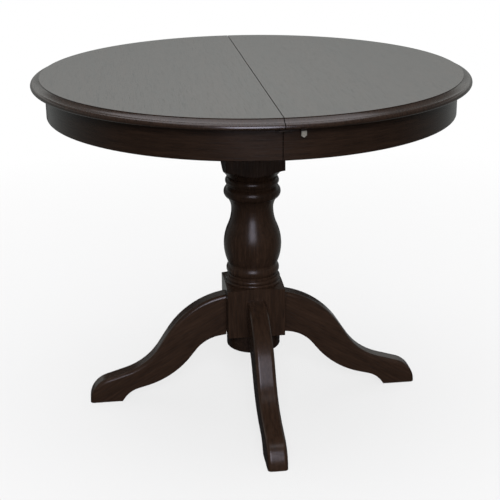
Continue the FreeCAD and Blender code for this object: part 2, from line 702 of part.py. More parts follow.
def make_legs():
    """One leg sawn from thick board, rounded along its outline and its upper edges; the others are twins."""
    body = new_body("leg_body")
    floor = "glide_thickness"
    outline = {
        "root_foot": (HALF_BLOCK, ROOT_LOW),
        "brace": ("brace_out", f"{ROOT_LOW} - brace_drop"),
        "arch": ("toe_out - arch_back", "arch_up"),
        "instep": ("toe_out - instep_back", "instep_up"),
        "heel": ("toe_out - foot_length", floor),
        "toe_foot": ("toe_out", floor),
        "toe": ("toe_out", "toe_up"),
        "ankle": ("toe_out - ankle_back", "ankle_up"),
        "knee": ("knee_out", f"{ROOT_HIGH} - knee_drop"),
        "root_top": (HALF_BLOCK, ROOT_HIGH),
    }
    sketch = draw(body, "leg_outline", "XZ_Plane", list(outline.values()))
    tip = pad(body, sketch, "leg_width", both_ways=True)
    places = {name: Vector(value(x), 0, value(z)) for name, (x, z) in outline.items()}
    rounds = {name: name + "_round" for name in ("knee", "ankle", "toe", "instep", "arch", "brace")}
    for name, share in room_for_rounds(places, rounds).items():
        doc.recompute()
        fillet = body.newObject("PartDesign::Fillet", name + "_fillet")
        fillet.Base = (tip, [edge_at(tip.Shape, places[name].x, places[name].z)])
        tip = bind(fillet, Radius=f"{rounds[name]} * {share}")
    doc.recompute()
    edge_round = body.newObject("PartDesign::Fillet", "leg_edge_rounds")
    edge_round.Base = (tip, upper_edges(tip.Shape, value("leg_width / 2")))
    bind(edge_round, Radius="leg_edge_round")
    drills = [
        plain_hole("leg_bolt_hole", "bolt_diameter", "bolt_in_leg", (HALF_BLOCK, "0", BOLT_LEVEL), ALONG_X),
        plain_hole("leg_low_hole", "dowel_diameter", "dowel_length / 2",
                   (HALF_BLOCK, "0", LOW_DOWEL), ALONG_X),
        plain_hole("leg_high_hole", "dowel_diameter", "dowel_length / 2",
                   (HALF_BLOCK, "0", HIGH_DOWEL), ALONG_X),
        plain_hole("leg_nail_hole", "glide_nail", "glide_nail_length", (GLIDE_OUT, "0", floor), UP),
    ]
    leg = keep(cut("leg_drilled", body, drills), "right_leg")
    for label, turn in (("rear_leg", 90), ("left_leg", 180), ("front_leg", 270)):
        twin(label, leg, (Vector(0, 0, 1), turn))


def around_column(label, pieces):
    """Group of one leg's fastener, or several, repeated round the column."""
    swung = [turned_copy(copy_of(piece, number), number) for number in range(4) for piece in pieces]
    return keep(bundle(label + "_group", swung), label)


def copy_of(item, number):
    """A link to an object, in the object's own place."""
    link = doc.addObject("App::Link", f"{item.Name}_{number}")
    link.LinkedObject = item
    link.LinkTransform = True
    return link


def make_leg_fasteners():
    """Dowels, bolts, washers and nuts of the legs, and the glides under the feet."""
    start = f"{HALF_BLOCK} - dowel_length / 2"
    around_column("leg_dowels", [
        rod(f"{name}_dowel", "dowel_diameter / 2", "dowel_length", (start, "0", level), ALONG_X)
        for name, level in (("low", LOW_DOWEL), ("high", HIGH_DOWEL))
    ])
    bolt_start = f"{HALF_CORE} - bolt_tail"
    bolt = rod("leg_bolt", "bolt_diameter / 2", f"{HALF_BLOCK} + bolt_in_leg - ({bolt_start})",
               (bolt_start, "0", BOLT_LEVEL), ALONG_X)
    around_column("leg_bolts", [bolt])
    washer_face = f"{HALF_CORE} - washer_thickness"
    washer = rod("washer_disc", "washer_diameter / 2", "washer_thickness",
                 (washer_face, "0", BOLT_LEVEL), ALONG_X)
    around_bolt = rod("washer_bore", "bolt_diameter / 2 + fit_clearance", "washer_thickness",
                      (washer_face, "0", BOLT_LEVEL), ALONG_X)
    around_column("leg_washers", [cut("leg_washer", washer, [around_bolt])])
    nut_face = f"{washer_face} - nut_height"
    prism = doc.addObject("Part::Prism", "nut_prism")
    prism.Polygon = 6
    bind(prism, Circumradius="nut_across / sqrt(3)", Height="nut_height")
    place(prism, (nut_face, "0", BOLT_LEVEL), ALONG_X)
    thread = rod("nut_bore", "bolt_diameter / 2 + fit_clearance", "nut_height",
                 (nut_face, "0", BOLT_LEVEL), ALONG_X)
    around_column("leg_nuts", [cut("leg_nut", prism, [thread])])
    pad_disc = rod("glide_pad", "glide_diameter / 2", "glide_thickness", (GLIDE_OUT, "0", "0"))
    nail = rod("glide_nail_pin", "glide_nail / 2", "glide_thickness + glide_nail_length",
               (GLIDE_OUT, "0", "0"))
    around_column("foot_glides", [joined("glide", pad_disc, nail)])


# Pedestal plate and bearers

def make_pedestal_head():
    """Plate on the column, two bearers across it, and the screws of both joints."""
    half = "plate_side / 2"
    board = box("plate_board", (f"0 - {half}", half), (f"0 - {half}", half), (COLUMN_TOP, BEARER_BOTTOM))
    holes = []
    column_spots = [((x, y, BEARER_BOTTOM), DOWN) for x, y in column_screw_spots()]
    for number, (at, turn) in enumerate(column_spots):
        holes.append(screw_hole(f"plate_column_hole_{number}", "column_screw_diameter", "column_screw_head",
                                "plate_thickness", at, turn))
    bearer_spots = [
        ((f"{side} {BEARER_MIDDLE}", f"{along} plate_screw_spread / 2", COLUMN_TOP), UP)
        for side in ("0 -", "0 +") for along in ("0 -", "0 +")
    ]
    for number, (at, turn) in enumerate(bearer_spots):
        holes.append(screw_hole(f"plate_bearer_hole_{number}", "board_screw_diameter", "board_screw_head",
                                "plate_thickness", at, turn))
    keep(cut("plate_drilled", board, holes), "pedestal_plate")
    column_screw = screw("column_screw", "column_screw_diameter", "column_screw_head", "column_screw_length")
    cap_spots = [((x, y, "column_clearance"), UP) for x, y in column_screw_spots()]
    copies("column_screws", column_screw, column_spots + cap_spots)
    board_screw = screw("board_screw", "board_screw_diameter", "board_screw_head", "board_screw_length")
    copies("plate_screws", board_screw, bearer_spots)
    rail_spots = [
        ((f"{side} {BEARER_MIDDLE}", f"{along} {UNIT_LINE}", BEARER_BOTTOM), UP)
        for side in ("0 -", "0 +") for along in ("0 -", "0 +")
    ]
    copies("fixed_rail_screws", board_screw, rail_spots)
    make_bearers()


def make_bearers():
    """Right bearer, drilled for its screws and stop pins, and its twin on the left."""
    low, high = f"{BEARER_MIDDLE} - bearer_width / 2", f"{BEARER_MIDDLE} + bearer_width / 2"
    board = box("bearer_board", (low, high),
                (f"0 - {UNIT_OUTER} - bearer_past", f"{UNIT_OUTER} + bearer_past"),
                (BEARER_BOTTOM, BEARER_TOP))
    holes = []
    for number, side in enumerate(("0 -", "0 +")):
        holes.append(plain_hole(f"bearer_screw_hole_{number}", "board_screw_diameter",
                                "board_screw_length - plate_thickness",
                                (BEARER_MIDDLE, f"{side} plate_screw_spread / 2", BEARER_BOTTOM), UP))
        holes.append(screw_hole(f"bearer_rail_hole_{number}", "board_screw_diameter", "board_screw_head",
                                "bearer_thickness",
                                (BEARER_MIDDLE, f"{side} {UNIT_LINE}", BEARER_BOTTOM), UP))
    pins = []
    for number, along in enumerate(STOP_LINES):
        at = (BEARER_MIDDLE, along, f"{BEARER_TOP} - stop_pin_deep")
        holes.append(plain_hole(f"bearer_stop_hole_{number}", "stop_pin_diameter", "stop_pin_deep", at, UP))
        pins.append(rod(f"stop_pin_{number}", "stop_pin_diameter / 2",
                        "stop_pin_deep + rail_lift + stop_pin_high", at, UP))
    bearer = keep(cut("bearer_drilled", board, holes), "right_bearer")
    twin("left_bearer", bearer)
    left_pins = [place(bundle(pin.Name + "_left", [pin]), ORIGIN, HALF_TURN) for pin in pins]
    keep(bundle("stop_pin_group", pins + left_pins), "stop_pins")


STOP_LINES = (f"{STOP_LINE} - {UNIT_LINE}", f"{STOP_LINE} + {UNIT_LINE}")


# Slide units

def make_fixed_rails():
    """Front fixed rail with a tongue on each side and a slot for the pinion, and its rear twin."""
    half_length = f"({RAIL_REACH} - fixed_rail_inset)"
    ends = (f"0 - {half_length}", half_length)
    body = box("fixed_rail_body", ends, (f"0 - {UNIT_LINE} - {FIXED_HALF}", f"{FIXED_HALF} - {UNIT_LINE}"),
               (BEARER_TOP, f"{UNDERSIDE} - fixed_rail_drop"))
    tongues = box("fixed_rail_tongues", ends,
                  (f"0 - {UNIT_LINE} - {FIXED_HALF} - tongue_out",
                   f"{FIXED_HALF} + tongue_out - {UNIT_LINE}"),
                  (TONGUE_BOTTOM, TONGUE_TOP))
    pinion_room = f"({PITCH_RADIUS} + gear_module * 2)"
    slot = box("pinion_slot", (f"0 - {pinion_room}", pinion_room),
               (f"0 - {UNIT_OUTER}", f"{RAIL_OUTER} - {UNIT_LINE}"),
               (BEARER_TOP, f"{GEAR_TOP} + gear_side_gap"))
    holes = [slot]
    holes.append(plain_hole("axle_hole", "axle_diameter", "axle_depth",
                            ("0", f"0 - {UNIT_LINE}", f"{GEAR_TOP} + gear_side_gap"), UP))
    for number, side in enumerate(("0 -", "0 +")):
        holes.append(plain_hole(f"fixed_rail_hole_{number}", "board_screw_diameter",
                                "board_screw_length - bearer_thickness",
                                (f"{side} {BEARER_MIDDLE}", f"0 - {UNIT_LINE}", BEARER_TOP), UP))
    rail = cut("fixed_rail", joined("fixed_rail_solid", body, tongues), holes)
    twin("rear_fixed_rail", keep(rail, "front_fixed_rail"))


def make_axles():
    """Shoulder pin under the front fixed rail that carries the pinion, and its rear twin."""
    middle = f"0 - {UNIT_LINE}"
    head_top = f"({GEAR_BOTTOM} - gear_side_gap)"
    head = rod("axle_head_disc", "axle_head / 2", "axle_head_height",
               ("0", middle, f"{head_top} - axle_head_height"))
    shaft = rod("axle_shaft", "axle_diameter / 2", "gear_face + gear_side_gap * 2 + axle_depth",
                ("0", middle, head_top))
    twin("rear_pinion_axle", keep(joined("axle", head, shaft), "front_pinion_axle"))


def pinion_outline():
    """Closed outline of the pinion: involute flanks, tip arcs and root arcs."""
    teeth, module = int(value("gear_teeth")), value("gear_module")
    pressure = math.radians(value("gear_angle"))
    pitch, tip = value(PITCH_RADIUS), value(f"{PITCH_RADIUS} + gear_module")
    root, base = pitch - 1.25 * module, pitch * math.cos(pressure)
    half_thick = (math.pi * module / 2 - value("gear_backlash") / 2) / 2 / pitch

    def flank_angle(radius):
        def involute(r):
            opening = math.acos(base / r)
            return math.tan(opening) - opening
        return half_thick + involute(pitch) - involute(max(radius, base))

    def at(radius, angle):
        return Vector(radius * math.cos(angle), radius * math.sin(angle), 0)

    edges = []
    step = 2 * math.pi / teeth
    for tooth in range(teeth):
        middle = math.pi / 2 + tooth * step
        rise = [at(r, middle - flank_angle(r)) for r in (base, (base + tip) / 2, tip)]
        fall = [at(r, middle + flank_angle(r)) for r in (tip, (base + tip) / 2, base)]
        root_start = at(root, middle - flank_angle(base))
        root_end = at(root, middle + flank_angle(base))
        next_root = at(root, middle + step - flank_angle(base))
        edges.append(Part.makeLine(root_start, rise[0]))
        edges.append(Part.Arc(*rise).toShape())
        edges.append(Part.Arc(rise[2], at(tip, middle), fall[0]).toShape())
        edges.append(Part.Arc(*fall).toShape())
        edges.append(Part.makeLine(fall[2], root_end))
        edges.append(Part.Arc(root_end, at(root, middle + step / 2), next_root).toShape())
    return Part.Wire(edges)


def make_pinions():
    """Front pinion with a running bore, and its rear twin; teeth come from the involute formula."""
    teeth = doc.addObject("Part::Feature", "pinion_teeth")
    teeth.Shape = Part.Face(pinion_outline()).extrude(Vector(0, 0, value("gear_face")))
    place(teeth, ("0", f"0 - {UNIT_LINE}", GEAR_BOTTOM))
    bore = rod("pinion_bore", "axle_diameter / 2 + axle_running_gap", "gear_face",
               ("0", f"0 - {UNIT_LINE}", GEAR_BOTTOM))
    twin("rear_pinion", keep(cut("pinion", teeth, [bore]), "front_pinion"))


def make_rack(name, middle):
    """Rack of a right-hand moving rail: a bar with straight-sided teeth facing the pinion."""
    body = new_body(name)
    length = f"({TOOTH_PITCH} * {RACK_TEETH})"
    end = f"({TOOTH_PITCH} * {RACK_LEAD})"
    far = f"{end} - {length}"
    bar = [(far, RACK_ROOT), (end, RACK_ROOT), (end, RACK_BACK), (far, RACK_BACK)]
    pad(body, draw(body, name + "_bar", "XY_Plane", bar), "gear_face")
    slope = "tan(gear_angle * 1 deg)"
    half_pitch_line = f"({TOOTH_PITCH} / 4 - gear_backlash / 4)"
    half_tip = f"({half_pitch_line} - gear_module * {slope})"
    half_root = f"({half_pitch_line} + gear_module * 1.25 * {slope})"
    first = f"({end} - {TOOTH_PITCH} / 2)"
    tooth = [
        (f"{first} - {half_root}", RACK_ROOT),
        (f"{first} - {half_tip}", RACK_TIP),
        (f"{first} + {half_tip}", RACK_TIP),
        (f"{first} + {half_root}", RACK_ROOT),
    ]
    sketch = draw(body, name + "_tooth", "XY_Plane", tooth)
    single = pad(body, sketch, "gear_face")
    row = body.newObject("PartDesign::LinearPattern", name + "_row")
    row.Originals = [single]
    row.Direction = (sketch, ["H_Axis"])
    row.Reversed = True
    bind(row, Length=f"{TOOTH_PITCH} * ({RACK_TEETH} - 1)", Occurrences=RACK_TEETH)
    body.Tip = row
    return place(body, ("0", middle, GEAR_BOTTOM))


def make_moving_rail(name, middle):
    """Moving rail of the right half, grooved for tongue, rack and stop pin, and relieved at its tail."""
    def across(low, high):
        return (f"{middle} + {low}", f"{middle} + {high}")

    ends = (f"0 - {RAIL_TAIL}", RAIL_REACH)
    bar = box(name + "_bar", ends, across(RAIL_INNER, RAIL_OUTER), (RAIL_BOTTOM, UNDERSIDE))
    past_ends = (f"0 - {RAIL_TAIL} - rail_gap", f"{RAIL_REACH} + rail_gap")
    inner = f"({RAIL_INNER} - rail_gap)"
    groove = box(name + "_groove", past_ends, across(inner, f"{FIXED_HALF} + tongue_out + slide_clearance"),
                 (f"{TONGUE_BOTTOM} - slide_clearance", f"{TONGUE_TOP} + slide_clearance"))
    rebate = box(name + "_rebate", past_ends, across(inner, RACK_BACK),
                 (f"{RAIL_BOTTOM} - rail_gap", f"{GEAR_TOP} + gear_side_gap"))
    relief = box(name + "_relief", (f"0 - {RAIL_TAIL} - rail_gap", "rail_relief_start"),
                 across(inner, f"{RAIL_OUTER} + rail_gap"),
                 (f"{UNDERSIDE} - rail_relief", f"{UNDERSIDE} + rail_gap"))
    pin_room = "(stop_pin_diameter / 2 + slide_clearance)"
    stop = box(name + "_stop",
               (f"{BEARER_MIDDLE} - half_travel - {pin_room}", f"{BEARER_MIDDLE} + {pin_room}"),
               across(f"{STOP_LINE} - {pin_room}", f"{STOP_LINE} + {pin_room}"),
               (f"{RAIL_BOTTOM} - rail_gap", f"{RAIL_BOTTOM} + stop_groove_deep"))
    holes = []
    for number in range(RAIL_SCREWS):
        along, across_at = rail_screw_place(number), f"{middle} + {STOP_LINE}"
        holes.append(plain_hole(f"{name}_sunk_{number}", "rail_screw_head",
                                f"{RAIL_SCREW_SEAT} - {RAIL_BOTTOM}",
                                (along, across_at, RAIL_BOTTOM), UP))
        holes.append(screw_hole(f"{name}_screw_{number}", "rail_screw_diameter", "rail_screw_head",
                                f"{UNDERSIDE} - {RAIL_SCREW_SEAT}", (along, across_at, RAIL_SCREW_SEAT), UP))
    return cut(name, bar, [joined(name + "_cuts", groove, rebate, relief, stop, *holes)])


RAIL_SCREWS = 3


def rail_screw_place(number):
    """Place along X of one rail screw, evenly spaced from the first to the last."""
    last = f"({RAIL_REACH} - rail_screw_last)"
    return f"rail_screw_first + ({last} - rail_screw_first) * {number} / {RAIL_SCREWS - 1}"


def rail_screw_spots():
    """Places of the rail screws of the right half."""
    return [
        ((rail_screw_place(number), along, RAIL_SCREW_SEAT), UP)
        for along in STOP_LINES for number in range(RAIL_SCREWS)
    ]


def make_moving_slides():
    """Front and rear moving rails and racks of the right half, their screws, and their left twins."""
    for place_name, opposite, middle in (("front", "rear", f"0 - {UNIT_LINE}"), ("rear", "front", UNIT_LINE)):
        rail = keep(make_moving_rail(f"{place_name}_moving_rail", middle), f"right_{place_name}_rail")
        twin(f"left_{opposite}_rail", rail)
        rack = keep(make_rack(f"{place_name}_rack_body", middle), f"right_{place_name}_rack")
        twin(f"left_{opposite}_rack", rack)
    rail_screw = screw("rail_screw", "rail_screw_diameter", "rail_screw_head", "rail_screw_length")
    twin("left_rail_screws", copies("right_rail_screws", rail_screw, rail_screw_spots()))


# Top, apron and what holds them

def edge_moulding(outer, level, out="+", up="+"):
    """Corners of the moulded edge from the flat surface round the nose to the underside."""
    inward = "-" if out == "+" else "+"
    down = "-" if up == "+" else "+"
    turns = ("right", "left") if out == up else ("left", "right")
    nose_level = f"({level} {down} (top_thickness - nose_under))"
    nose_drop = "(top_thickness - nose_under - edge_fall)"
    slope_end, nose_side = turns[1], turns[0]
    return [
        (f"{outer} {inward} edge_band", level),
        (f"{outer} {inward} edge_band", f"{level} {down} edge_step"),
        (f"{outer} {inward} nose_out", f"{level} {down} edge_fall", "edge_cove", slope_end),
        (outer, nose_level, leaving_radius(nose_drop, "nose_out"), nose_side),
        (f"{outer} {inward} nose_under", f"{level} {down} top_thickness", "nose_under", nose_side),
    ]


def half_ring(name, corners):
    """Half of a turned ring or disc on the right, trimmed back from the split plane."""
    body = new_body(name)
    turned(body, draw(body, name + "_section", "XZ_Plane", corners), "180")
    side = "top_diameter"
    trim = [("0 - split_gap", f"0 - {side}"), ("split_gap / 2", f"0 - {side}"), ("split_gap / 2", side),
            ("0 - split_gap", side)]
    pocket(body, draw(body, name + "_trim", "XY_Plane", trim), "table_height * 3", both_ways=True)
    return body


def make_tops():
    """Right half of the top with its moulded edge, pin holes and screw holes, and its left twin."""
    section = [("0", "table_height")] + edge_moulding(TOP_RADIUS, "table_height") + [("0", UNDERSIDE)]
    board = half_ring("right_top_board", section)
    holes = []
    for number, along in enumerate((PIN_NEAR, f"0 - {PIN_NEAR}", PIN_FAR, f"0 - {PIN_FAR}")):
        holes.append(rod(f"pin_hole_{number}", "pin_diameter / 2 + pin_clearance", "pin_hole_depth",
                         ("0", along, PIN_LEVEL), ALONG_X))
    for number, (at, turn) in enumerate(rail_screw_spots()):
        holes.append(plain_hole(f"top_rail_hole_{number}", "rail_screw_diameter", "rail_screw_bite",
                                (at[0], at[1], UNDERSIDE), UP))
    for number, (at, turn) in enumerate(lock_screw_spots()):
        holes.append(plain_hole(f"top_lock_hole_{number}", "small_screw_diameter",
                                "small_screw_length - lock_plate", (at[0], at[1], UNDERSIDE), UP))
    twin("left_top", keep(cut("right_top_drilled", board, holes), "right_top"))
    pins = [
        rod(f"right_pin_{number}", "pin_diameter / 2", "pin_length",
            ("0 - pin_length / 2", along, PIN_LEVEL), ALONG_X)
        for number, along in enumerate((PIN_NEAR, f"0 - {PIN_FAR}"))
    ]
    twin("left_alignment_pins", keep(bundle("right_pins", pins), "right_alignment_pins"))


def make_aprons():
    """Right half of the bent apron, its glue blocks, and their left twins."""
    inner = APRON_INNER
    section = [
        (inner, UNDERSIDE),
        (APRON_RADIUS, UNDERSIDE),
        (APRON_RADIUS, f"{APRON_BOTTOM} + apron_round"),
        (f"{APRON_RADIUS} - apron_round", APRON_BOTTOM, "apron_round", "right"),
        (f"{inner} + apron_round", APRON_BOTTOM),
        (inner, f"{APRON_BOTTOM} + apron_round", "apron_round", "right"),
    ]
    twin("left_apron", keep(half_ring("right_apron_ring", section), "right_apron"))
    block = new_body("glue_block")
    glue_section = [
        (f"{inner} - glue_block_depth", f"{UNDERSIDE} - glue_block_height"),
        (inner, f"{UNDERSIDE} - glue_block_height"),
        (inner, UNDERSIDE),
        (f"{inner} - glue_block_depth", UNDERSIDE),
    ]
    turned(block, draw(block, "glue_block_section", "XZ_Plane", glue_section), "glue_block_angle")
    blocks = []
    for angle in ("glue_block_first_angle", "glue_block_second_angle"):
        for side in (1, -1):
            swung = bundle(f"{angle}_{len(blocks)}", [block])
            swung.Placement = FreeCAD.Placement(Vector(), FreeCAD.Rotation(Vector(0, 0, side), value(angle)))
            blocks.append(bind(swung, Placement__Rotation__Angle=angle))
    twin("left_apron_blocks", keep(bundle("right_blocks", blocks), "right_apron_blocks"))


# Locks

def plate_screw_places():
    """Places of the two screws of the front lock plate, along X."""
    return ("lock_pivot_in + lock_plate_width / 2",
            "lock_plate_inset + lock_plate_length - small_screw_head * 0.8")


def keeper_screw_places():
    """Places of the two screws of the rear keeper, along Y, at one distance from the split."""
    return (f"{LOCK_LINE} - lock_plate_width / 4", f"{LOCK_LINE} + lock_plate_width / 4")


def lock_screw_spots():
    """Screws of the right half: two in the front lock plate, two in the rear keeper."""
    keeper_x = "lock_plate_inset + keeper_length - small_screw_head * 0.8"
    spots = [((along, f"0 - {LOCK_LINE}", LOCK_BOTTOM), UP) for along in plate_screw_places()]
    return spots + [((keeper_x, across, LOCK_BOTTOM), UP) for across in keeper_screw_places()]


def make_locks():
    """Front lock of the right half, the rear keeper of the right half, and their left twins."""
    middle = f"0 - {LOCK_LINE}"
    half = "lock_plate_width / 2"
    low, high = LOCK_BOTTOM, UNDERSIDE
    spots = lock_screw_spots()
    plate_end = "lock_plate_inset + lock_plate_length"
    board = box("lock_plate_board", ("lock_plate_inset", plate_end),
                (f"{middle} - {half}", f"{middle} + {half}"), (low, high))
    stub = "(pivot_diameter / 2 - lever_gap)"
    holes = [rod("lock_plate_bore", f"{stub} + pivot_running_gap", "lock_plate",
                 ("lock_pivot_in", middle, low))]
    for number in range(2):
        holes.append(screw_hole(f"lock_plate_hole_{number}", "small_screw_diameter", "small_screw_head",
                                "lock_plate", *spots[number]))
    twin("rear_lock_plate", keep(cut("lock_plate_drilled", board, holes), "front_lock_plate"))
    make_lock_pivot(stub)
    make_keeper(spots[2:])
    lock_screw = screw("small_screw", "small_screw_diameter", "small_screw_head", "small_screw_length")
    twin("left_lock_screws", copies("right_lock_screws", lock_screw, spots))
    make_lever()
    return lock_screw


def make_lock_pivot(stub):
    """Shouldered rivet that the lever turns on, riveted into the lock plate."""
    body = new_body("lock_pivot_body")
    head_top = f"({LEVER_BOTTOM} - lever_gap)"
    outline = [
        ("0", f"{head_top} - pivot_head_height"),
        ("pivot_head / 2", f"{head_top} - pivot_head_height"),
        ("pivot_head / 2", head_top),
        ("pivot_diameter / 2", head_top),
        ("pivot_diameter / 2", LOCK_BOTTOM),
        (stub, LOCK_BOTTOM),
        (stub, UNDERSIDE),
        ("0", UNDERSIDE),
    ]
    turned(body, draw(body, "lock_pivot_outline", "XZ_Plane", outline))
    place(body, ("lock_pivot_in", f"0 - {LOCK_LINE}", "0"))
    twin("rear_lock_pivot", keep(body, "front_lock_pivot"))


def make_keeper(spots):
    """Rear keeper of the right half: a plate with a stud for the other half's hook."""
    half = "lock_plate_width / 2"
    plate_x = ("lock_plate_inset", "lock_plate_inset + keeper_length")
    board = box("keeper_board", plate_x, (f"{LOCK_LINE} - {half}", f"{LOCK_LINE} + {half}"),
                (LOCK_BOTTOM, UNDERSIDE))
    stud = rod("keeper_stud", "stud_diameter / 2", "lever_thickness + lever_gap * 2",
               (f"0 - {STUD_IN}", LOCK_LINE, LOCK_BOTTOM), DOWN)
    holes = [
        screw_hole(f"keeper_hole_{number}", "small_screw_diameter", "small_screw_head", "lock_plate", *spot)
        for number, spot in enumerate(spots)
    ]
    keeper = cut("keeper_drilled", joined("keeper_solid", board, stud), holes)
    twin("front_keeper", keep(keeper, "rear_keeper"))


def make_lever():
    """Lock lever: hook arm across the split, thumb arm with a turned-down shield-shaped tab."""
    body = new_body("lever_body")
    half = "(lever_width / 2)"
    notch = "(stud_diameter / 2 + notch_clearance)"
    tip = f"(0 - lock_reach - {notch} - hook_wall)"
    end = "(tab_reach + tab_width / 2)"
    outer = "(lever_width * 0.4)"
    outline = [
        (tip, f"0 - {half}"),
        (end, f"0 - {outer}"),
        (end, f"tab_thickness - {outer} + lever_thickness"),
        (f"{half} * 2", half),
        (f"{notch} - lock_reach", half),
        (f"{notch} - lock_reach", f"0 - {notch}"),
        (f"0 - lock_reach - {notch}", f"0 - {notch}"),
        (f"0 - lock_reach - {notch}", half),
        (tip, half),
    ]
    pad(body, draw(body, "lever_outline", "XY_Plane", outline, LEVER_BOTTOM), "lever_thickness")
    start = "(tab_reach - tab_width / 2)"
    low = f"({LEVER_BOTTOM} - tab_drop)"
    shield = [
        (start, LEVER_TOP),
        (start, f"{low} + tab_point"),
        ("tab_reach", low),
        (end, f"{low} + tab_point"),
        (end, LEVER_TOP),
    ]
    pad(body, draw(body, "lever_tab", "XZ_Plane", shield, outer), "tab_thickness", reverse=True)
    bore = rod("lever_bore", "pivot_diameter / 2 + pivot_running_gap", "lever_thickness",
               ("0", "0", LEVER_BOTTOM))
    lever = cut("lever", body, [bore])
    lever.Placement = FreeCAD.Placement(Vector(), FreeCAD.Rotation(Vector(0, 0, 1), value(LOCK_SWING)))
    bind(lever, Placement__Rotation__Angle=LOCK_SWING, Placement__Base__x="lock_pivot_in",
         Placement__Base__y=f"0 - {LOCK_LINE}")
    twin("rear_lock_lever", keep(lever, "front_lock_lever"))


# Folded leaf

def make_leaf(small_screw):
    """Upper panel of the folded leaf, its twin below it, hinges, pins, screws and felt rests."""
    face = f"(top_thickness + leaf_gap / 2)"
    back = "(leaf_gap / 2)"
    body = new_body("leaf_panel_body")
    end = f"({LEAF_LENGTH} / 2)"
    section = [(FOLD_EDGE, back), (FOLD_EDGE, face)] + edge_moulding(end, face)
    sketch = draw(body, "leaf_section", "YZ_Plane", section)
    pad(body, sketch, LEAF_WIDTH, both_ways=True)
    cuts = []
    for number, side in enumerate(("0 -", "0 +")):
        middle = f"({side} hinge_spacing / 2)"
        cuts.append(box(f"hinge_mortise_{number}",
                        (f"{middle} - hinge_length / 2 - knuckle_gap",
                         f"{middle} + hinge_length / 2 + knuckle_gap"),
                        (f"{FOLD_EDGE} - hinge_plate", f"{FOLD_EDGE} + hinge_plate"),
                        ("0", "hinge_barrel / 2 + hinge_leaf + knuckle_gap")))
        cuts.append(rod(f"knuckle_room_{number}", "hinge_barrel / 2 + knuckle_gap",
                        "hinge_length + knuckle_gap * 2",
                        (f"{middle} - hinge_length / 2 - knuckle_gap", FOLD_EDGE, "0"), ALONG_X))
        for hole, across in enumerate(("0 -", "0 +")):
            at = (f"{middle} {across[2:]} hinge_screw_spread / 2", FOLD_EDGE, HINGE_SCREW_UP)
            cuts.append(plain_hole(f"leaf_screw_hole_{number}{hole}", "small_screw_diameter",
                                   "small_screw_length", at, ALONG_Y))
    for number, (side, turn) in enumerate((("0 -", ALONG_X), ("0 +", AGAINST_X))):
        for hole, along in enumerate((PIN_NEAR, PIN_FAR)):
            cuts.append(rod(f"leaf_pin_hole_{number}{hole}", "pin_diameter / 2 + pin_clearance",
                            "pin_hole_depth",
                            (f"{side} {LEAF_WIDTH} / 2", f"{FOLD_EDGE} + {along}", LEAF_PIN_UP), turn))
    panel = cut("leaf_panel", body, [joined("leaf_cuts", *cuts)])
    place(panel, ("0", "0", LEAF_MIDDLE))
    keep(panel, "leaf_upper_panel")
    over = (Vector(0, 1, 0), 180)
    folded = (("0", "0", f"{LEAF_MIDDLE} * 2"))
    twin("leaf_lower_panel", panel, over, folded)
    make_leaf_hinges(small_screw, over, folded)
    make_leaf_pins(over, folded)
    rests = []
    for number, side in enumerate(("0 -", "0 +")):
        middle = f"({side} {BEARER_MIDDLE})"
        rests.append(box(f"leaf_rest_{number}", (f"{middle} - rest_width / 2", f"{middle} + rest_width / 2"),
                         ("0 - rest_length / 2", "rest_length / 2"), (BEARER_TOP, LEAF_BOTTOM)))
    keep(bundle("leaf_rest_pair", rests), "leaf_rests")


HINGE_SCREW_UP = "(hinge_barrel / 2 + hinge_leaf / 2)"
LEAF_PIN_UP = "(leaf_gap / 2 + top_thickness / 2)"


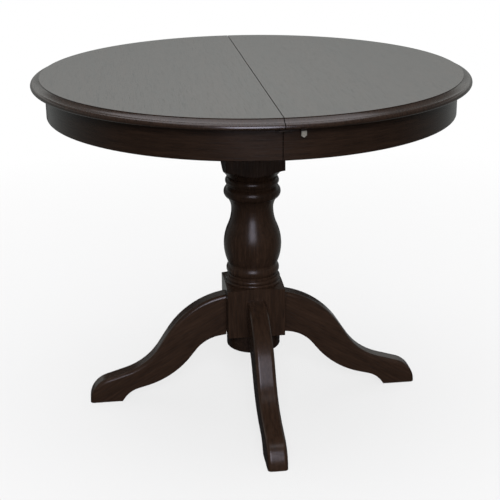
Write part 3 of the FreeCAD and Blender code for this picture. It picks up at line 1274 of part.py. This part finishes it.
def make_leaf_hinges(small_screw, over, folded):
    """Two butt hinges, opened flat on the fold edges of the panels, with their pins and screws."""
    upper, lower, pins, screws = [], [], [], []
    barrel = "hinge_barrel / 2"
    plate_y = (FOLD_EDGE, f"{FOLD_EDGE} + hinge_plate")
    for number, side in enumerate(("0 -", "0 +")):
        middle = f"({side} hinge_spacing / 2)"
        spots = [
            (f"{middle} {across} hinge_screw_spread / 2", FOLD_EDGE, f"{LEAF_MIDDLE} {up} {HINGE_SCREW_UP}")
            for across in ("-", "+") for up in ("-", "+")
        ]
        screws += [(at, ALONG_Y) for at in spots]
        start, end = f"{middle} - hinge_length / 2", f"{middle} + hinge_length / 2"
        inner = f"(knuckle_length / 2)"
        outer = f"({inner} + knuckle_gap)"
        stretches = {
            "upper": [(f"{middle} - {inner}", f"{middle} + {inner}")],
            "lower": [(start, f"{middle} - {outer}"), (f"{middle} + {outer}", end)],
        }
        for kind, up, plates in (("upper", "+", upper), ("lower", "-", lower)):
            edge = f"{LEAF_MIDDLE} {up} ({barrel} + knuckle_gap)"
            far = f"{LEAF_MIDDLE} {up} ({barrel} + hinge_leaf)"
            span = (edge, far) if up == "+" else (far, edge)
            solids = [box(f"{kind}_hinge_{number}", (start, end), plate_y, span)]
            for stretch, (low, high) in enumerate(stretches[kind]):
                name = f"{kind}_knuckle_{number}{stretch}"
                web = (LEAF_MIDDLE, edge) if up == "+" else (edge, LEAF_MIDDLE)
                solids.append(rod(name, barrel, f"({high}) - ({low})",
                                  (low, FOLD_EDGE, LEAF_MIDDLE), ALONG_X))
                solids.append(box(name + "_web", (low, high), plate_y, web))
            bore = rod(f"{kind}_hinge_bore_{number}", "hinge_pin / 2 + pivot_running_gap", "hinge_length",
                       (start, FOLD_EDGE, LEAF_MIDDLE), ALONG_X)
            sunk = [
                screw_hole(f"{kind}_hinge_hole_{number}{index}", "small_screw_diameter", "small_screw_head",
                           "hinge_plate", at, ALONG_Y)
                for index, at in enumerate(spots) if (index % 2 == 1) == (kind == "upper")
            ]
            plates.append(cut(f"{kind}_hinge_plate_{number}", joined(f"{kind}_hinge_solid_{number}", *solids),
                              [bore] + sunk))
        pins.append(rod(f"leaf_hinge_pin_{number}", "hinge_pin / 2", "hinge_length",
                        (start, FOLD_EDGE, LEAF_MIDDLE), ALONG_X))
    keep(bundle("upper_hinge_group", upper), "leaf_upper_hinge_plates")
    keep(bundle("lower_hinge_group", lower), "leaf_lower_hinge_plates")
    keep(bundle("hinge_pin_group", pins), "leaf_hinge_pins")
    copies("leaf_hinge_screws", small_screw, screws)


def make_leaf_pins(over, folded):
    """Alignment pins of the leaf, a near one on one edge and a far one on the other of each panel."""
    reach = "pin_length / 2"
    upper = []
    for number, (side, along) in enumerate((("0 -", PIN_NEAR), ("0 +", PIN_FAR))):
        start = f"{side} {LEAF_WIDTH} / 2 - {reach}"
        upper.append(rod(f"leaf_pin_{number}", "pin_diameter / 2", "pin_length",
                         (start, f"{FOLD_EDGE} + {along}", f"{LEAF_MIDDLE} + {LEAF_PIN_UP}"), ALONG_X))
    lower = place(bundle("leaf_pins_below", upper), folded, over)
    keep(bundle("leaf_pin_group", upper + [lower]), "leaf_alignment_pins")


# Assembly

def write_parts():
    """Recompute, check every object and every sub-part, and write one file for each sub-part."""
    doc.recompute()
    for item in doc.Objects:
        if "Invalid" in item.State or "Error" in item.State:
            raise RuntimeError(f"{item.Label} failed: {item.State}")
    os.makedirs("parts", exist_ok=True)
    for item in sub_parts:
        shape = item.Shape
        if shape.isNull() or not shape.isValid() or not shape.Solids:
            raise RuntimeError(f"{item.Label} has no valid shape")
    for item in sub_parts:
        item.Shape.exportStep(f"parts/{item.Label}.step")


make_column()
make_boss_cap()
make_legs()
make_leg_fasteners()
make_pedestal_head()
make_fixed_rails()
make_axles()
make_pinions()
make_moving_slides()
make_tops()
make_aprons()
make_leaf(make_locks())
write_parts()
print("sub-parts", len(sub_parts))
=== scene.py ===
import math

import bmesh
import bpy
from mathutils import Matrix, Vector


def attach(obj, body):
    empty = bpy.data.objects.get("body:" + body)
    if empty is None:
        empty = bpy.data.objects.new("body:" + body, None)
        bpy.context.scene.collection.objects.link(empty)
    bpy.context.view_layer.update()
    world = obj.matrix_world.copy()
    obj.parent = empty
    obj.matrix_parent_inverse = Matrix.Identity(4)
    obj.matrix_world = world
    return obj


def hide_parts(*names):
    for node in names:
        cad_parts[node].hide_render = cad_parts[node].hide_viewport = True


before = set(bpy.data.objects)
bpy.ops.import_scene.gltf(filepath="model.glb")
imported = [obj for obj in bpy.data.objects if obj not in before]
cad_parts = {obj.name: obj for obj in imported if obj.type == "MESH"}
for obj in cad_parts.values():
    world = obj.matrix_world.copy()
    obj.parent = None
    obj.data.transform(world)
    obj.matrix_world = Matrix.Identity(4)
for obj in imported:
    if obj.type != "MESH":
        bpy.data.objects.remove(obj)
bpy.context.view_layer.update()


# Column
# One length of close-grained hardwood: two square blocks left on it and beads, a ring and a vase turned
# between them on the lathe. Stained nearly black brown and lacquered to a satin gloss.

class Shade:
    """One socket of a node tree that takes part in plain arithmetic."""

    def __init__(self, tree, socket=None):
        self.tree = tree
        self.socket = socket

    def make(self, kind, inputs=None, output=0, **settings):
        """A new node in the same tree: its settings, then its inputs by name or number."""
        made = self.tree.nodes.new(kind)
        for setting, chosen in settings.items():
            setattr(made, setting, chosen)
        for place, given in (inputs or {}).items():
            if isinstance(given, Shade):
                self.tree.links.new(given.socket, made.inputs[place])
            else:
                made.inputs[place].default_value = given
        return Shade(self.tree, made.outputs[output] if made.outputs else None)

    def math(self, operation, first, second=0.0):
        """One step of arithmetic, by its name, on one or two values."""
        return self.make("ShaderNodeMath", {0: first, 1: second}, operation=operation)

    def __add__(self, other):
        return self.math("ADD", self, other)

    def __radd__(self, other):
        return self.math("ADD", other, self)

    def __sub__(self, other):
        return self.math("SUBTRACT", self, other)

    def __rsub__(self, other):
        return self.math("SUBTRACT", other, self)

    def __mul__(self, other):
        return self.math("MULTIPLY", self, other)

    def spread(self, low, high, bottom=0.0, top=1.0):
        """The value stretched so that low to high becomes bottom to top, and held there outside."""
        return self.make("ShaderNodeMapRange", {0: self, 1: low, 2: high, 3: bottom, 4: top})

    def colours(self, first, second):
        """Colour between two, first where this value is 0 and second where it is 1."""
        return self.make("ShaderNodeMix", {0: self, 6: first, 7: second}, output=2, data_type="RGBA")


def new_material(name):
    """An empty node material, and a start for its nodes."""
    material = bpy.data.materials.new(name)
    material.use_nodes = True
    material.node_tree.nodes.clear()
    return material, Shade(material.node_tree)


def place_point(start):
    """The point being shaded, in metres in the table's own frame."""
    return start.make("ShaderNodeTexCoord", output=3)


def place_axes(start):
    """X, Y and Z of the point being shaded."""
    point = place_point(start)
    return [start.make("ShaderNodeSeparateXYZ", {0: point}, output=axis) for axis in range(3)]


def close_material(start, colour, roughness, bump=None, bump_depth=0.0002, bump_strength=0.2, **constants):
    """Principled surface with these values, joined to the material's output."""
    values = {"Base Color": colour, "Roughness": roughness}
    if bump is not None:
        values["Normal"] = start.make("ShaderNodeBump", {"Strength": bump_strength, "Distance": bump_depth,
                                                         "Height": bump})
    for words, given in constants.items():
        values[words.replace("_", " ")] = given
    surface = start.make("ShaderNodeBsdfPrincipled", values)
    start.make("ShaderNodeOutputMaterial", {0: surface})


def grain_noise(start, directions, across_scale, along_scale, detail, roughness=0.5):
    """Noise drawn out along the grain. directions are two lengths across it and one along it."""
    first, second, along = directions
    point = start.make("ShaderNodeCombineXYZ", {0: first * across_scale, 1: second * across_scale,
                                                2: along * along_scale})
    return start.make("ShaderNodeTexNoise", {"Vector": point, "Scale": 1.0, "Detail": detail,
                                             "Roughness": roughness})


STAIN_DEEP = (0.010, 0.0058, 0.0040)
STAIN_WARM = (0.047, 0.0260, 0.0168)
STAIN_PORE = (0.007, 0.0040, 0.0028)


def stained_wood(name, grain, gloss, shine, relief, strength=1.0):
    """Dark stained hardwood. grain turns X, Y, Z into two lengths across the grain and one along it.

    gloss is the lacquer's roughness and shine how much it mirrors, half for a full coat. relief is how far
    the pores show through it, and strength lightens the stain."""
    deep, warm, pore_colour = [tuple(part * strength for part in colour) + (1,)
                               for colour in (STAIN_DEEP, STAIN_WARM, STAIN_PORE)]
    material, start = new_material(name)
    directions = grain(*place_axes(start))
    band_noise = grain_noise(start, directions, across_scale=16, along_scale=0.8, detail=2)
    streak_noise = grain_noise(start, directions, across_scale=190, along_scale=14, detail=5,
                               roughness=0.75)
    pore_noise = grain_noise(start, directions, across_scale=1100, along_scale=26, detail=2)
    bands = band_noise.spread(0.3, 0.7)
    streaks = streak_noise.spread(0.28, 0.72)
    pores = pore_noise.spread(0.56, 0.66)
    tone = bands * 0.3 + streaks * 0.7
    colour = (pores * 0.7).colours(tone.colours(deep, warm), pore_colour)
    close_material(start, colour, gloss + streaks * 0.03 + pores * 0.06, bump=streaks * 0.3 - pores,
                   bump_depth=0.00008, bump_strength=relief, Specular_IOR_Level=shine)
    return material


def paint(material, *names):
    """Gives CAD nodes a material through their object slots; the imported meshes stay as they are."""
    for name in names:
        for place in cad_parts[name].material_slots:
            place.link = "OBJECT"
            place.material = material


def upright_grain(x, y, z):
    return x, y, z


upright_wood = stained_wood("stained wood, upright", upright_grain, gloss=0.25, shine=0.2, relief=0.12,
                            strength=1.4)
paint(upright_wood, "column")


# Boss cap
# The round boss under the lower block: a turned cap of the same wood that closes the hollow of the block.
# It is cut from board, so its grain runs level, and four screws hold it.

def level_grain(x, y, z):
    return x, z, y


level_wood = stained_wood("stained wood, level along Y", level_grain, gloss=0.14, shine=0.5, relief=0.04)
paint(level_wood, "boss_cap")


# Legs
# Four curved legs sawn from thick board, so the grain runs straight from the block down to the toe and
# meets the curves at an angle. Upper edges rounded over, the same stain and lacquer.

LEG_FALL = math.radians(30)


def leg_grain(axis, side):
    """Grain of a leg that reaches out along X or Y, to the positive or the negative side."""
    def grain(x, y, z):
        out = (x if axis == "X" else y) * side
        across = y if axis == "X" else x
        over = out * math.sin(LEG_FALL) + z * math.cos(LEG_FALL)
        along = out * math.cos(LEG_FALL) - z * math.sin(LEG_FALL)
        return across, over, along
    return grain


for leg, axis, side in (("front_leg", "Y", -1), ("rear_leg", "Y", 1),
                        ("left_leg", "X", -1), ("right_leg", "X", 1)):
    leg_wood = stained_wood("stained wood, " + leg.replace("_", " "), leg_grain(axis, side), gloss=0.22,
                            shine=0.3, relief=0.12, strength=1.55)
    paint(leg_wood, leg)


# Leg fastenings and glides
# Beech dowels and zinc plated bolts with washers and nuts hold each leg to the block. A grey nylon glide is
# pressed into each foot.

BEECH_STRAW = (0.52, 0.34, 0.20, 1)
BEECH_PINK = (0.42, 0.25, 0.14, 1)
BEECH_FLECK = (0.26, 0.14, 0.07, 1)


def pale_wood(name, grain):
    """Bare beech: pinkish straw, with the short dark flecks of its rays. grain as for the stained wood."""
    material, start = new_material(name)
    directions = grain(*place_axes(start))
    band_noise = grain_noise(start, directions, across_scale=40, along_scale=1.5, detail=3)
    fleck_noise = grain_noise(start, directions, across_scale=700, along_scale=90, detail=1)
    bands = band_noise.spread(0.3, 0.7)
    flecks = fleck_noise.spread(0.62, 0.70)
    colour = (flecks * 0.6).colours(bands.colours(BEECH_STRAW, BEECH_PINK), BEECH_FLECK)
    close_material(start, colour, 0.50 + bands * 0.10, bump=bands - flecks, bump_depth=0.0001)
    return material


def even_noise(start, scale, detail):
    """Noise that is alike in all directions."""
    return start.make("ShaderNodeTexNoise", {"Vector": place_point(start), "Scale": scale, "Detail": detail})


def metal(name, bright, dull, polish, wear_scale):
    """Plated or rolled metal between two tones, with fine cloudy wear and a polish given as roughness."""
    material, start = new_material(name)
    clouds = even_noise(start, scale=wear_scale, detail=4).spread(0.3, 0.7)
    close_material(start, clouds.colours(bright, dull), polish + clouds * 0.12, bump=clouds,
                   bump_depth=0.00003, Metallic=1.0)
    return material


beech_x = pale_wood("beech along X", lambda x, y, z: (y, z, x))
beech_y = pale_wood("beech along Y", lambda x, y, z: (x, z, y))
zinc_steel = metal("zinc plated steel", bright=(0.62, 0.62, 0.63, 1), dull=(0.42, 0.43, 0.45, 1),
                   polish=0.28, wear_scale=420)
paint(beech_x, "leg_dowels")
paint(zinc_steel, "leg_bolts", "leg_washers", "leg_nuts")

NYLON_DARK = (0.30, 0.29, 0.28, 1)
NYLON_PALE = (0.36, 0.35, 0.33, 1)
nylon, start = new_material("grey nylon")
mottle = even_noise(start, scale=900, detail=2)
close_material(start, mottle.colours(NYLON_DARK, NYLON_PALE), 0.42 + mottle * 0.1, bump=mottle,
               bump_depth=0.00004)
paint(nylon, "foot_glides")


# Pedestal head
# A beech plate is screwed down on the column and two bearers are screwed across it. They carry the slides
# and the folded leaf.

paint(beech_x, "pedestal_plate")
paint(beech_y, "left_bearer", "right_bearer")
paint(zinc_steel, "column_screws", "plate_screws")


# Slides
# Fixed beech rails lie across the bearers. On their two sides run the moving rails of the two halves, each
# with a nylon rack let in, and a nylon pinion between the racks makes both halves open alike.

paint(beech_x, "front_fixed_rail", "rear_fixed_rail", "left_front_rail", "left_rear_rail",
      "right_front_rail", "right_rear_rail")
paint(nylon, "front_pinion", "rear_pinion", "left_front_rack", "left_rear_rack", "right_front_rack",
      "right_rear_rack")
paint(zinc_steel, "fixed_rail_screws", "left_rail_screws", "right_rail_screws", "front_pinion_axle",
      "rear_pinion_axle", "stop_pins")


# Folding leaf
# Two panels of the top's board hinged at one edge and folded together under the top, with brass hinges let
# into the edge. It lies on two felt strips glued to the bearers.

paint(level_wood, "leaf_lower_panel", "leaf_upper_panel")
brass = metal("brass", bright=(0.72, 0.52, 0.24, 1), dull=(0.55, 0.38, 0.16, 1), polish=0.26,
              wear_scale=500)
paint(brass, "leaf_lower_hinge_plates", "leaf_upper_hinge_plates", "leaf_hinge_pins", "leaf_hinge_screws")
paint(beech_x, "leaf_alignment_pins")

FELT_WIDTH = 0.040
FELT_LENGTH = 0.400
FELT_LINE = 0.075
FELT_BOTTOM = 0.684
FELT_TOP = 0.687
FELT_CELL = 0.004
FELT_EDGE_DROP = 0.0006
FELT_RIPPLE = 0.00006
FELT_WAVES = ((2.3, 1.1), (-0.4, 0.7))
FELT_DARK = (0.010, 0.040, 0.018, 1)
FELT_PALE = (0.028, 0.085, 0.042, 1)

felt, start = new_material("green felt")
fibres = even_noise(start, scale=1400, detail=5)
tufts = even_noise(start, scale=260, detail=3)
felt_tone = (fibres * 0.7 + tufts * 0.3).spread(0.35, 0.65)
close_material(start, felt_tone.colours(FELT_DARK, FELT_PALE), 0.95, bump=fibres + tufts, bump_depth=0.0006,
               bump_strength=0.6)

felt_mesh = bmesh.new()
across_cells = round(FELT_WIDTH / FELT_CELL)
along_cells = round(FELT_LENGTH / FELT_CELL)


def felt_height(level, i, j):
    """Height of the felt at one crossing: the top sinks in faint ripples and drops along its edge.

    Two waves make the ripples, each given as the turn it makes from cell to cell, across and along."""
    if level != FELT_TOP:
        return level
    edge = min(i, across_cells - i, j, along_cells - j)
    first_wave, second_wave = [math.sin(i * across + j * along) for across, along in FELT_WAVES]
    ripple = FELT_RIPPLE * first_wave * second_wave
    return level - (FELT_EDGE_DROP if edge == 0 else 0.0) + min(ripple, 0.0)


for side in (-1, 1):
    start_x = side * FELT_LINE - FELT_WIDTH / 2
    start_y = -FELT_LENGTH / 2
    bottom, top = [[[felt_mesh.verts.new((start_x + i * FELT_CELL, start_y + j * FELT_CELL,
                                          felt_height(level, i, j)))
                     for j in range(along_cells + 1)] for i in range(across_cells + 1)]
                   for level in (FELT_BOTTOM, FELT_TOP)]
    for i in range(across_cells):
        for j in range(along_cells):
            felt_mesh.faces.new((top[i][j], top[i + 1][j], top[i + 1][j + 1], top[i][j + 1]))
            felt_mesh.faces.new((bottom[i][j], bottom[i][j + 1], bottom[i + 1][j + 1], bottom[i + 1][j]))
    for i in range(across_cells):
        felt_mesh.faces.new((bottom[i][0], bottom[i + 1][0], top[i + 1][0], top[i][0]))
        felt_mesh.faces.new((bottom[i + 1][-1], bottom[i][-1], top[i][-1], top[i + 1][-1]))
    for j in range(along_cells):
        felt_mesh.faces.new((bottom[0][j + 1], bottom[0][j], top[0][j], top[0][j + 1]))
        felt_mesh.faces.new((bottom[-1][j], bottom[-1][j + 1], top[-1][j + 1], top[-1][j]))


def new_piece(name, mesh, material):
    """A mesh made here, closed into an object of the scene with its material."""
    data = bpy.data.meshes.new(name.replace("_", " "))
    mesh.to_mesh(data)
    mesh.free()
    data.materials.append(material)
    piece = bpy.data.objects.new(name, data)
    bpy.context.scene.collection.objects.link(piece)
    return piece


felt_strips = new_piece("felt_strips", felt_mesh, felt)
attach(felt_strips, "base")
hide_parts("leaf_rests")


# Tops
# Two half rounds of board with the grain along the split. The edge is moulded: a small step, a hollow slope
# and a round nose. Beech pins in the split edges line them up.

paint(level_wood, "left_top", "right_top")
paint(beech_x, "left_alignment_pins", "right_alignment_pins")


# Lacquer on the moulded edges
# Coats of lacquer sprayed on the cut edge of each half and rubbed down to a third of a millimetre, so that
# the slope and the round nose shine without a break. They go with the halves.

TOP_RADIUS = 0.4575
TOP_LEVEL = 0.745
SPLIT_HALF = 0.0008
FILM = 0.0003
FILM_DEPTH = 0.0005
EDGE_STEPS = 200
SLOPE_MIDDLE = (-0.00121, 0.01784)
SLOPE_RADIUS = 0.026
SLOPE_BEGIN = 229.8
SLOPE_END = 257.0
NOSE_LEVEL = -0.014
NOSE_BEGIN = 94.2
NOSE_UPPER_RADIUS = 0.006518
NOSE_LOWER_RADIUS = 0.004


def arc(middle, radius, begin, end, steps):
    """Points of an arc in the edge's section: each an outward distance, a height and its normal."""
    points = []
    for step in range(steps + 1):
        angle = math.radians(begin + (end - begin) * step / steps)
        points.append((middle[0] + radius * math.cos(angle), middle[1] + radius * math.sin(angle),
                       math.cos(angle), math.sin(angle)))
    return points


def hollow(points):
    """The same arc seen from inside, as on a hollow slope."""
    return [(out, up, -across, -rise) for out, up, across, rise in points]


def shifted(points, distance):
    """The outward distances and heights of points moved along their normals."""
    return [(out + distance * across, up + distance * rise) for out, up, across, rise in points]


slope = hollow(arc(SLOPE_MIDDLE, SLOPE_RADIUS, SLOPE_BEGIN, SLOPE_END, steps=10))
upper_nose = arc((-NOSE_UPPER_RADIUS, NOSE_LEVEL), NOSE_UPPER_RADIUS, NOSE_BEGIN, 0.0, steps=20)
lower_nose = arc((-NOSE_LOWER_RADIUS, NOSE_LEVEL), NOSE_LOWER_RADIUS, 0.0, -90.0, steps=10)
outside = slope + upper_nose[:-1] + lower_nose
section = shifted(outside, FILM) + shifted(outside, -FILM_DEPTH)[::-1]
sharp_corners = {0, len(slope) - 1, len(slope), len(outside) - 1, len(outside), len(section) - 1}
edge_wood = stained_wood("stained wood, moulded edge", level_grain, gloss=0.20, shine=0.5, relief=0.0)
for half, side in (("left", -1), ("right", 1)):
    film_mesh = bmesh.new()
    rings = []
    for out, up in section:
        radius = TOP_RADIUS + out
        reach = math.pi / 2 - math.asin(SPLIT_HALF / radius)
        turns = [reach * (2 * step / EDGE_STEPS - 1) for step in range(EDGE_STEPS + 1)]
        rings.append([film_mesh.verts.new((side * radius * math.cos(turn), side * radius * math.sin(turn),
                                           TOP_LEVEL + up)) for turn in turns])
    for number, ring in enumerate(rings):
        following = rings[(number + 1) % len(rings)]
        for step in range(EDGE_STEPS):
            face = film_mesh.faces.new((ring[step], ring[step + 1], following[step + 1], following[step]))
            face.smooth = True
        if number in sharp_corners:
            for step in range(EDGE_STEPS):
                film_mesh.edges.get((ring[step], ring[step + 1])).smooth = False
    for end in (0, -1):
        film_mesh.faces.new([ring[end] for ring in rings])
    bmesh.ops.recalc_face_normals(film_mesh, faces=film_mesh.faces)
    film = new_piece(half + "_edge_lacquer", film_mesh, edge_wood)
    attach(film, half + "_half")


# Aprons
# Bent half rings of the same stained wood under the top, with the grain running round them. Beech blocks
# glued into the corner hold them to the top.

APRON_MIDDLE = 0.43


def ring_grain(x, y, z):
    """Grain round the table's axis, counted from the left and right sides so that no half has a seam."""
    sideways = x.math("ABSOLUTE", x)
    angle = y.math("ARCTAN2", y, sideways)
    radius = y.math("SQRT", x * x + y * y)
    return radius, z, angle * APRON_MIDDLE


bent_wood = stained_wood("stained wood, bent round", ring_grain, gloss=0.22, shine=0.3, relief=0.10)
paint(bent_wood, "left_apron", "right_apron")
paint(beech_y, "left_apron_blocks", "right_apron_blocks")


# Locks
# One at each end of the split, under the edge: a pressed plate, a riveted pivot, a lever with a hook and a
# thumb tab, and a keeper with a stud on the other half. Browned steel, with nickel on the hanging tab. The
# lever is painted dark above a set height: painted shade under the top's edge, over its arm and the tab's
# upper part.

# Browned steel tones; on the lever they are also the painted shade above the nickel.
BROWNED_AND_SHADE_PALE = (0.060, 0.048, 0.040, 1)
BROWNED_AND_SHADE_DARK = (0.035, 0.028, 0.024, 1)
NICKEL_PALE = (0.62, 0.59, 0.51, 1)
NICKEL_DARK = (0.38, 0.36, 0.30, 1)
# Above this height the lever is painted dark: painted shade under the top's edge.
LEVER_SHADE_LINE = 0.7195
LEVER_SHADE_BLEND = 0.0010

browned = metal("browned steel", bright=BROWNED_AND_SHADE_PALE, dull=BROWNED_AND_SHADE_DARK, polish=0.45, wear_scale=300)
lever_with_painted_shade, start = new_material("nickel tab, painted shade above it on the lever")
lever_height = place_axes(start)[2]
wear = even_noise(start, scale=300, detail=4).spread(0.3, 0.7)
# Nickel below the line, painted shade above it.
nickel_below_shade = lever_height.spread(low=LEVER_SHADE_LINE - LEVER_SHADE_BLEND, high=LEVER_SHADE_LINE, bottom=1.0, top=0.0)
lever_colour_with_painted_shade = nickel_below_shade.colours(wear.colours(BROWNED_AND_SHADE_PALE, BROWNED_AND_SHADE_DARK), wear.colours(NICKEL_PALE, NICKEL_DARK))
close_material(start, lever_colour_with_painted_shade, 0.58 + wear * 0.12, bump=wear, bump_depth=0.00003, Metallic=0.6)
paint(lever_with_painted_shade, "front_lock_lever", "rear_lock_lever")
paint(browned, "front_lock_plate", "rear_lock_plate", "front_lock_pivot", "rear_lock_pivot", "front_keeper",
      "rear_keeper", "left_lock_screws", "right_lock_screws")


# Studio
# A pale floor that fades into white, soft light from above, a window in front of the table with a low light
# under it, and a camera where the photo's stood.

FLOOR_RADIUS = 3.0
FLOOR_DARK = (0.93, 0.93, 0.93, 1)
FLOOR_PALE = (0.95, 0.95, 0.95, 1)
floor_material, start = new_material("pale floor")
x, y = place_axes(start)[:2]
distance = x.math("SQRT", x * x + y * y)
speckle = even_noise(start, scale=60, detail=3)
close_material(start, speckle.colours(FLOOR_DARK, FLOOR_PALE), 0.9,
               Alpha=distance.spread(low=0.3, high=2.2, bottom=0.25, top=0.0))
floor_mesh = bmesh.new()
bmesh.ops.create_circle(floor_mesh, cap_ends=True, segments=96, radius=FLOOR_RADIUS)
floor = new_piece("floor", floor_mesh, floor_material)
floor.visible_glossy = False
floor.visible_diffuse = False

# Painted shade that only mirrored light meets: a dark card behind the foot stands in for the shade under the
# table and keeps the bright wall off the legs, and a dark disc on the floor is the table's own shadow
# painted in for mirrors.
FLAG_WIDTH = 1.5
FLAG_HEIGHT = 0.62
FLAG_BACK = 1.1
SHADE_RADIUS = 0.55
SHADE_CORNERS = 48
SHADE_CARD_DARK = (0.055, 0.055, 0.055, 1)
SHADE_CARD_PALE = (0.070, 0.070, 0.070, 1)
# Dark colour of the painted shade, seen only in mirrors.
painted_shade_material, start = new_material("painted shade in mirrors")
shade_card_noise = even_noise(start, scale=400, detail=2)
close_material(start, shade_card_noise.colours(SHADE_CARD_DARK, SHADE_CARD_PALE), 0.9)
flag_mesh = bmesh.new()
card = [(-FLAG_WIDTH / 2, FLAG_BACK, 0.0), (FLAG_WIDTH / 2, FLAG_BACK, 0.0),
        (FLAG_WIDTH / 2, FLAG_BACK, FLAG_HEIGHT), (-FLAG_WIDTH / 2, FLAG_BACK, FLAG_HEIGHT)]
shade_turns = [2 * math.pi * corner / SHADE_CORNERS for corner in range(SHADE_CORNERS)]
disc = [(SHADE_RADIUS * math.cos(turn), SHADE_RADIUS * math.sin(turn), 0.0) for turn in shade_turns]
for outline in (card, disc):
    flag_mesh.faces.new([flag_mesh.verts.new(corner) for corner in outline])
flag = new_piece("flag", flag_mesh, painted_shade_material)
flag.visible_camera = False
flag.visible_diffuse = False
flag.visible_shadow = False

# The camera sees white all round. Mirrors see a bright wall behind the table, brightest a little to the
# right, and a dim room in front. Other light comes mostly from above.
WALL_MIDDLE = 0.12
ROOM_COLOUR = (0.945, 0.985, 0.965, 1)
WHITE = (1, 1, 1, 1)
world = bpy.data.worlds.new("studio")
bpy.context.scene.world = world
world.use_nodes = True
world.node_tree.nodes.clear()
start = Shade(world.node_tree)
direction = start.make("ShaderNodeTexCoord", output=0)
to_side, to_back, upward = [start.make("ShaderNodeSeparateXYZ", {0: direction}, output=axis)
                            for axis in range(3)]
is_camera = start.make("ShaderNodeLightPath", output=0)
is_glossy = start.make("ShaderNodeLightPath", output=3)
behind = to_back.spread(-0.2, 0.7)
off_middle = to_side - WALL_MIDDLE
wall_fade = off_middle.math("ABSOLUTE", off_middle).spread(low=0.02, high=0.18, bottom=1.0, top=0.94)
wall_rise = upward.spread(low=0.13, high=0.26, bottom=0.34, top=0.90)
wall_end = upward.spread(low=0.30, high=0.40, bottom=0.0, top=0.68)
far_wall = (wall_rise - wall_end) * wall_fade
near_room = upward.spread(low=-0.2, high=0.3, bottom=0.05, top=0.10)
mirrored = behind * far_wall + (1.0 - behind) * near_room
ambient = upward.spread(low=-0.1, high=0.5, bottom=0.02, top=0.26)
brightness = is_camera + (1.0 - is_camera) * (is_glossy * mirrored + (1.0 - is_glossy) * ambient)
backdrop = start.make("ShaderNodeBackground", {0: is_camera.colours(ROOM_COLOUR, WHITE), 1: brightness})
start.make("ShaderNodeOutputWorld", {0: backdrop})


def soft_light(name, place, aim, width, height, power, colour):
    """A rectangular soft box at a place, turned to a point it is aimed at."""
    data = bpy.data.lights.new(name, "AREA")
    data.shape = "RECTANGLE"
    data.size = width
    data.size_y = height
    data.energy = power
    data.color = colour
    light = bpy.data.objects.new(name, data)
    light.location = place
    light.rotation_euler = (Vector(aim) - Vector(place)).to_track_quat("-Z", "Y").to_euler()
    light.visible_camera = False
    bpy.context.scene.collection.objects.link(light)
    return light


soft_light("soft light above", place=(0.0, 0.35, 2.9), aim=(0.0, 0.35, 0.0), width=2.6, height=3.5,
           power=46, colour=(0.98, 0.95, 1.0))
window = soft_light("window", place=(-0.30, -3.37, 2.30), aim=(0.0, 0.0, 0.70), width=1.5, height=1.2,
                    power=66, colour=(0.98, 0.97, 1.0))
window.visible_glossy = False
pane = soft_light("window pane", place=(-0.41, -3.37, 1.90), aim=(0.0, 0.0, 0.75), width=1.5, height=2.7,
                  power=104, colour=(0.83, 0.83, 1.0))
pane.visible_diffuse = False
low_light = soft_light("light from the floor", place=(0.05, -3.30, 0.35), aim=(0.0, 0.0, 0.45), width=1.4,
                       height=0.7, power=12, colour=(1.0, 0.96, 0.91))
low_light.visible_glossy = False

# The pane is bright for the sake of the turned work, so the flat boards don't mirror it.
flat_boards = bpy.data.collections.new("flat boards")
for board in ("left_top", "right_top", "leaf_lower_panel", "leaf_upper_panel"):
    flat_boards.objects.link(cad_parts[board])
for member in flat_boards.collection_objects:
    member.light_linking.link_state = "EXCLUDE"
pane.light_linking.receiver_collection = flat_boards

CAMERA_DISTANCE = 2.39825
CAMERA_HEIGHT = 1.21276
CAMERA_LENS = 82.854
CAMERA_SWING = math.radians(7.43)
CAMERA_HEADING = math.radians(7.294)
CAMERA_PITCH = math.radians(19.948)
CAMERA_ROLL = math.radians(-0.533)
camera_data = bpy.data.cameras.new("camera")
camera_data.lens = CAMERA_LENS
camera_data.sensor_width = 36.0
camera = bpy.data.objects.new("camera", camera_data)
bpy.context.scene.collection.objects.link(camera)
camera_place = (-CAMERA_DISTANCE * math.sin(CAMERA_SWING), -CAMERA_DISTANCE * math.cos(CAMERA_SWING),
                CAMERA_HEIGHT)
camera.matrix_world = (Matrix.Translation(camera_place)
                       @ Matrix.Rotation(-CAMERA_HEADING, 4, "Z")
                       @ Matrix.Rotation(math.radians(90) - CAMERA_PITCH, 4, "X")
                       @ Matrix.Rotation(CAMERA_ROLL, 4, "Z"))
bpy.context.scene.camera = camera
bpy.context.scene.view_settings.view_transform = "Standard"
